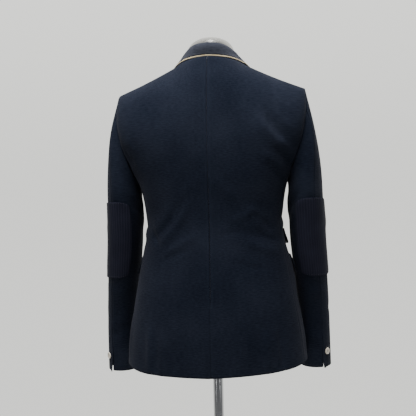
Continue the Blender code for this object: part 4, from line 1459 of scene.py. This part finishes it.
@dataclass
class Buttons:
    """Four-hole shell buttons with their crossed thread.

    The profile is a table of radius and height, as shares of the button's own. The thread
    runs at its share of the thickness, and a little clear of that.
    """

    frame: dict
    wardrobe: Wardrobe
    front_radius: float = 0.0100
    cuff_radius: float = 0.0075
    sides: int = 48
    sharp: float = 38.0
    thick: float = 0.0032
    profile: tuple[Point, ...] = (
        (0.0, 0.78), (0.52, 0.79), (0.66, 0.82), (0.76, 0.98), (0.86, 1.00), (0.95, 0.90),
        (0.995, 0.68), (1.00, 0.55), (0.96, 0.34), (0.86, 0.16), (0.60, 0.02), (0.0, 0.0),
    )
    hole_share: float = 0.20
    hole_radius_share: float = 0.085
    hole_sides: int = 14
    hole_depth: float = 0.010
    thread: Stitching = Stitching(radius=0.00030, rise=0.0007, rings=6)
    thread_share: float = 0.79
    thread_clear: float = 0.0001
    thread_apart: float = 0.00028

    def build(self) -> None:
        """Makes every button in place of its solid."""
        for node in ("front_button_1", "front_button_2"):
            self.button(node, self.front_radius)
        for side in Side:
            self.button(f"cuff_button_{side.word}", self.cuff_radius)

    def place(self, node: str) -> Matrix:
        """The place and turn of a button, from its solid's points.

        Args:
            node: the solid's name.

        Returns:
            A matrix whose Z is the button's outward axis, at its underside.
        """
        points = points_of(self.frame["nodes"][node].data)
        centre = points.mean(axis=0)
        axis = Vector(np.linalg.svd(points - centre, full_matrices=False)[2][2])
        outward = Vector((centre[0], centre[1], 0.0))
        if "cuff" in node:
            outward = Vector(LINES[Side.of(node)].around(centre[None, :])[1][0])
        if axis.dot(outward) < 0:
            axis = -axis
        heights = (points - centre) @ np.array(axis)
        foot = Vector(centre) + axis * float(heights.min())
        return Matrix.Translation(foot) @ axis.to_track_quat("Z", "Y").to_matrix().to_4x4()

    def button(self, node: str, radius: float) -> None:
        """Makes one button with its holes and thread.

        Args:
            node: the solid that it stands for.
            radius: its radius.
        """
        place = self.place(node)
        outline = [(radius * share, height * self.thick) for share, height in self.profile]
        body = linked(f"{node}_work", turned_mesh(f"{node}_body", outline, self.sides))
        reach, hole = self.hole_share * radius, self.hole_radius_share * radius
        corners = ((1, 1), (-1, 1), (-1, -1), (1, -1))
        spots = [Vector((reach * x, reach * y, 0.0)) for x, y in corners]
        cutters = bmesh.new()
        for spot in spots:
            bmesh.ops.create_cone(
                cutters,
                cap_ends=True,
                segments=self.hole_sides,
                radius1=hole,
                radius2=hole,
                depth=self.hole_depth,
                matrix=Matrix.Translation(spot),
            )
        cutter = linked(f"{node}_drill", mesh_of("drill", cutters))
        drill = body.modifiers.new("holes", "BOOLEAN")
        drill.object = cutter
        drill.solver = "EXACT"
        shell = settled(body)
        bpy.data.objects.remove(cutter)
        shell.transform(place)
        hard_piece(f"{node}_shell", node, shell, self.wardrobe.shell, self.sharp)
        build = bmesh.new()
        raised = Z_AXIS * (self.thread_share * self.thick + self.thread_clear)
        for first, second in ((spots[0], spots[2]), (spots[1], spots[3])):
            beside = (second - first).cross(Z_AXIS).normalized()
            for apart in (-self.thread_apart, self.thread_apart):
                shift = raised + beside * apart
                self.thread.stitch(build, first + shift, second + shift, Z_AXIS)
        thread = mesh_of(f"{node}_thread", build)
        thread.transform(place)
        piece(f"{node}_thread", thread, self.wardrobe.cream_thread)


def quarter(radius: float, reach: float, low: float, rise: float, steps: int) -> list[Point]:
    """A rounded edge, from its top at (radius, low + rise) down to (radius + reach, low)."""
    turns = [0.5 * math.pi * step / steps for step in range(steps + 1)]
    return [(radius + reach * math.sin(turn), low + rise * math.cos(turn)) for turn in turns]


@dataclass
class DressForm:
    """The form in its jersey, and the cap on its neck; the rim's edges are shares of it."""

    frame: dict
    wardrobe: Wardrobe
    torso_rim: Point = (62.0, 0.8)
    cap_radius: float = 0.0530
    cap_low: float = 1.4583
    cap_rim: float = 0.0040
    rim_edges: Point = (0.9, 0.3)
    rim_out: float = 0.0006
    foot_in: float = 0.0004
    cap_top: float = 1.4970
    cap_sides: int = 72
    cap_steps: int = 18

    def build(self) -> None:
        """Makes the torso's jersey and the neck cap."""
        mesh, _ = Softener().soften(self.frame["nodes"]["form_torso"], *self.torso_rim)
        lay_threads(mesh, Grain.TRUNK)
        torso = piece("form_torso_jersey", mesh, self.wardrobe.jersey)
        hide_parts("form_torso")
        self.neck_cap()

    def neck_cap(self) -> None:
        """Makes the smooth chrome cap."""
        shoulder = self.cap_low + self.cap_rim
        rise = self.cap_top - shoulder
        profile = quarter(0.0, self.cap_radius, shoulder, rise, self.cap_steps)
        for share in self.rim_edges:
            profile.append((self.cap_radius + self.rim_out, self.cap_low + self.cap_rim * share))
        profile += [(self.cap_radius - self.foot_in, self.cap_low), (0.0, self.cap_low)]
        mesh = turned_mesh("neck_cap_turned", profile, self.cap_sides)
        hard_piece("neck_cap_chrome", "neck_cap", mesh, self.wardrobe.soft)


@dataclass
class Stand:
    """Pole and round base."""

    wardrobe: Wardrobe
    base_radius: float = 0.1650
    base_thick: float = 0.0080
    base_round: float = 0.0022
    base_bevel: float = 0.0006
    base_sides: int = 96
    round_steps: int = 6
    pole_radius: float = 0.0120
    pole_sides: int = 48

    def build(self) -> None:
        """Makes the base with a rounded edge, and a smooth pole."""
        radius, curve, bevel = self.base_radius, self.base_round, self.base_bevel
        edge = quarter(radius - curve, curve, self.base_thick - curve, curve, self.round_steps)
        under = [(radius, bevel), (radius - bevel, 0.0), (0.0, 0.0)]
        profile = [(0.0, self.base_thick), *edge, *under]
        mesh = turned_mesh("base_turned", profile, self.base_sides)
        hard_piece("base_plate", "base", mesh, self.wardrobe.brushed)
        low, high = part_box("pole")
        radius = self.pole_radius
        profile = [(0.0, high.z), (radius, high.z), (radius, low.z), (0.0, low.z)]
        mesh = turned_mesh("pole_turned", profile, self.pole_sides)
        hard_piece("pole_tube", "pole", mesh, self.wardrobe.bright)


@dataclass(frozen=True)
class Lamp:
    """A soft light that faces a point; one with no height is square and leaves no glint."""

    name: str
    place: Place
    aim: Place
    width: float
    watts: float
    tall: float = 0.0

    def hang(self) -> None:
        """Adds the light to the scene."""
        lamp = bpy.data.lights.new(self.name, "AREA")
        lamp.shape, lamp.size, lamp.energy = "RECTANGLE", self.width, self.watts
        lamp.size_y = self.tall or self.width
        made = linked(self.name, lamp)
        made.location = self.place
        towards = Vector(self.aim) - Vector(self.place)
        made.rotation_euler = towards.to_track_quat("-Z", "Y").to_euler()
        made.visible_glossy = self.tall > 0


@dataclass
class Studio:
    """Floor, lights and the camera at the photograph's angle.

    A band is the part of a view's direction, along Y or up, where the air starts to change
    and where it has changed. The axis is the pole's column of pixels in the photograph.
    """

    wardrobe: Wardrobe
    distance: float = 1.6
    height: float = 1.111
    azimuth: float = 186.5
    roll: float = -1.3
    sensor: float = 36.0
    lens: float = 61.0
    frame_pixels: float = 416.0
    axis_pixel: float = 214.3
    floor_radius: float = 1.9
    floor_thick: float = 0.01
    floor_drop: float = 0.0005
    floor_sides: int = 96
    near_air: Colour = (0.130, 0.130, 0.136)
    far_air: Colour = (1.130, 1.135, 1.090)
    far_band: Point = (0.45, -0.90)
    high_band: Point = (0.00, 0.35)
    high_gain: float = 1.22
    lamps: tuple[Lamp, ...] = (
        Lamp("overhead", (0.15, 0.60, 2.8), (0.0, 0.0, 1.4), 1.5, 100.0),
        Lamp("strip_left", (1.75, 2.35, 0.80), (0.0, 0.0, 0.80), 0.20, 3.4, 1.7),
        Lamp("strip_right", (-1.95, 2.15, 0.80), (0.0, 0.0, 0.80), 0.20, 2.8, 1.7),
        Lamp("cap_glint", (0.0, 0.28, 2.7), (0.0, 0.27, 1.4), 0.10, 3.0, 1.3),
        Lamp("front_fill", (-1.2, -2.4, 2.1), (0.0, 0.0, 1.1), 1.6, 20.0),
    )

    def build(self) -> None:
        """Makes the whole studio."""
        self.floor()
        self.sky()
        for lamp in self.lamps:
            lamp.hang()
        self.camera()

    def floor(self) -> None:
        """Makes the round pale floor."""
        radius, low = self.floor_radius, -self.floor_thick
        profile = [(0.0, 0.0), (radius, 0.0), (radius, low), (0.0, low)]
        mesh = turned_mesh("floor", profile, self.floor_sides)
        mesh.materials.append(self.wardrobe.paper)
        made = linked("studio_floor", mesh)
        made.location.z = -self.floor_drop

    def sky(self) -> None:
        """Makes pale surroundings, bright in front of the coat and dim behind it."""
        world = bpy.data.worlds.new("studio_air")
        draft = Sketch(world, "Background")
        place = draft.node("TexCoord").outputs["Generated"]
        parts = draft.node("SeparateXYZ", {0: place}).outputs
        far = draft.ramp(parts[1], *self.far_band, kind="SMOOTHSTEP")
        gain = draft.ramp(parts[2], *self.high_band, 1.0, self.high_gain, "SMOOTHSTEP")
        draft.shade(Color=draft.blend(far, self.near_air, self.far_air), Strength=gain)
        bpy.context.scene.world = world

    def camera(self) -> None:
        """Puts the camera where the photograph was taken from."""
        turn = math.radians(self.azimuth)
        away = Vector((math.sin(turn), -math.cos(turn), 0.0)) * self.distance
        lens = bpy.data.cameras.new("photograph")
        lens.sensor_width, lens.lens = self.sensor, self.lens
        lens.shift_x = (0.5 * self.frame_pixels - self.axis_pixel) / self.frame_pixels
        made = linked("photograph", lens)
        made.location = Vector((0.0, 0.0, self.height)) + away
        level = (-away).to_track_quat("-Z", "Y").to_matrix()
        rolled = level @ Matrix.Rotation(math.radians(self.roll), 3, "Z")
        made.rotation_euler = rolled.to_euler()
        bpy.context.scene.camera = made


def main() -> None:
    """Builds every piece in order."""
    logging.basicConfig(level=logging.INFO, format="%(name)s: %(message)s")
    for start in list(bpy.data.objects):
        bpy.data.objects.remove(start)
    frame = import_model()
    wardrobe = Wardrobe()
    tailor = Tailor(frame, wardrobe)
    Studio(wardrobe).build()
    DressForm(frame, wardrobe).build()
    Stand(wardrobe).build()
    for kind in (Trunk, Sleeves, Collar, Flaps, Sewing):
        kind(tailor).build()
    Buttons(frame, wardrobe).build()


if __name__ == "__main__":
    main()
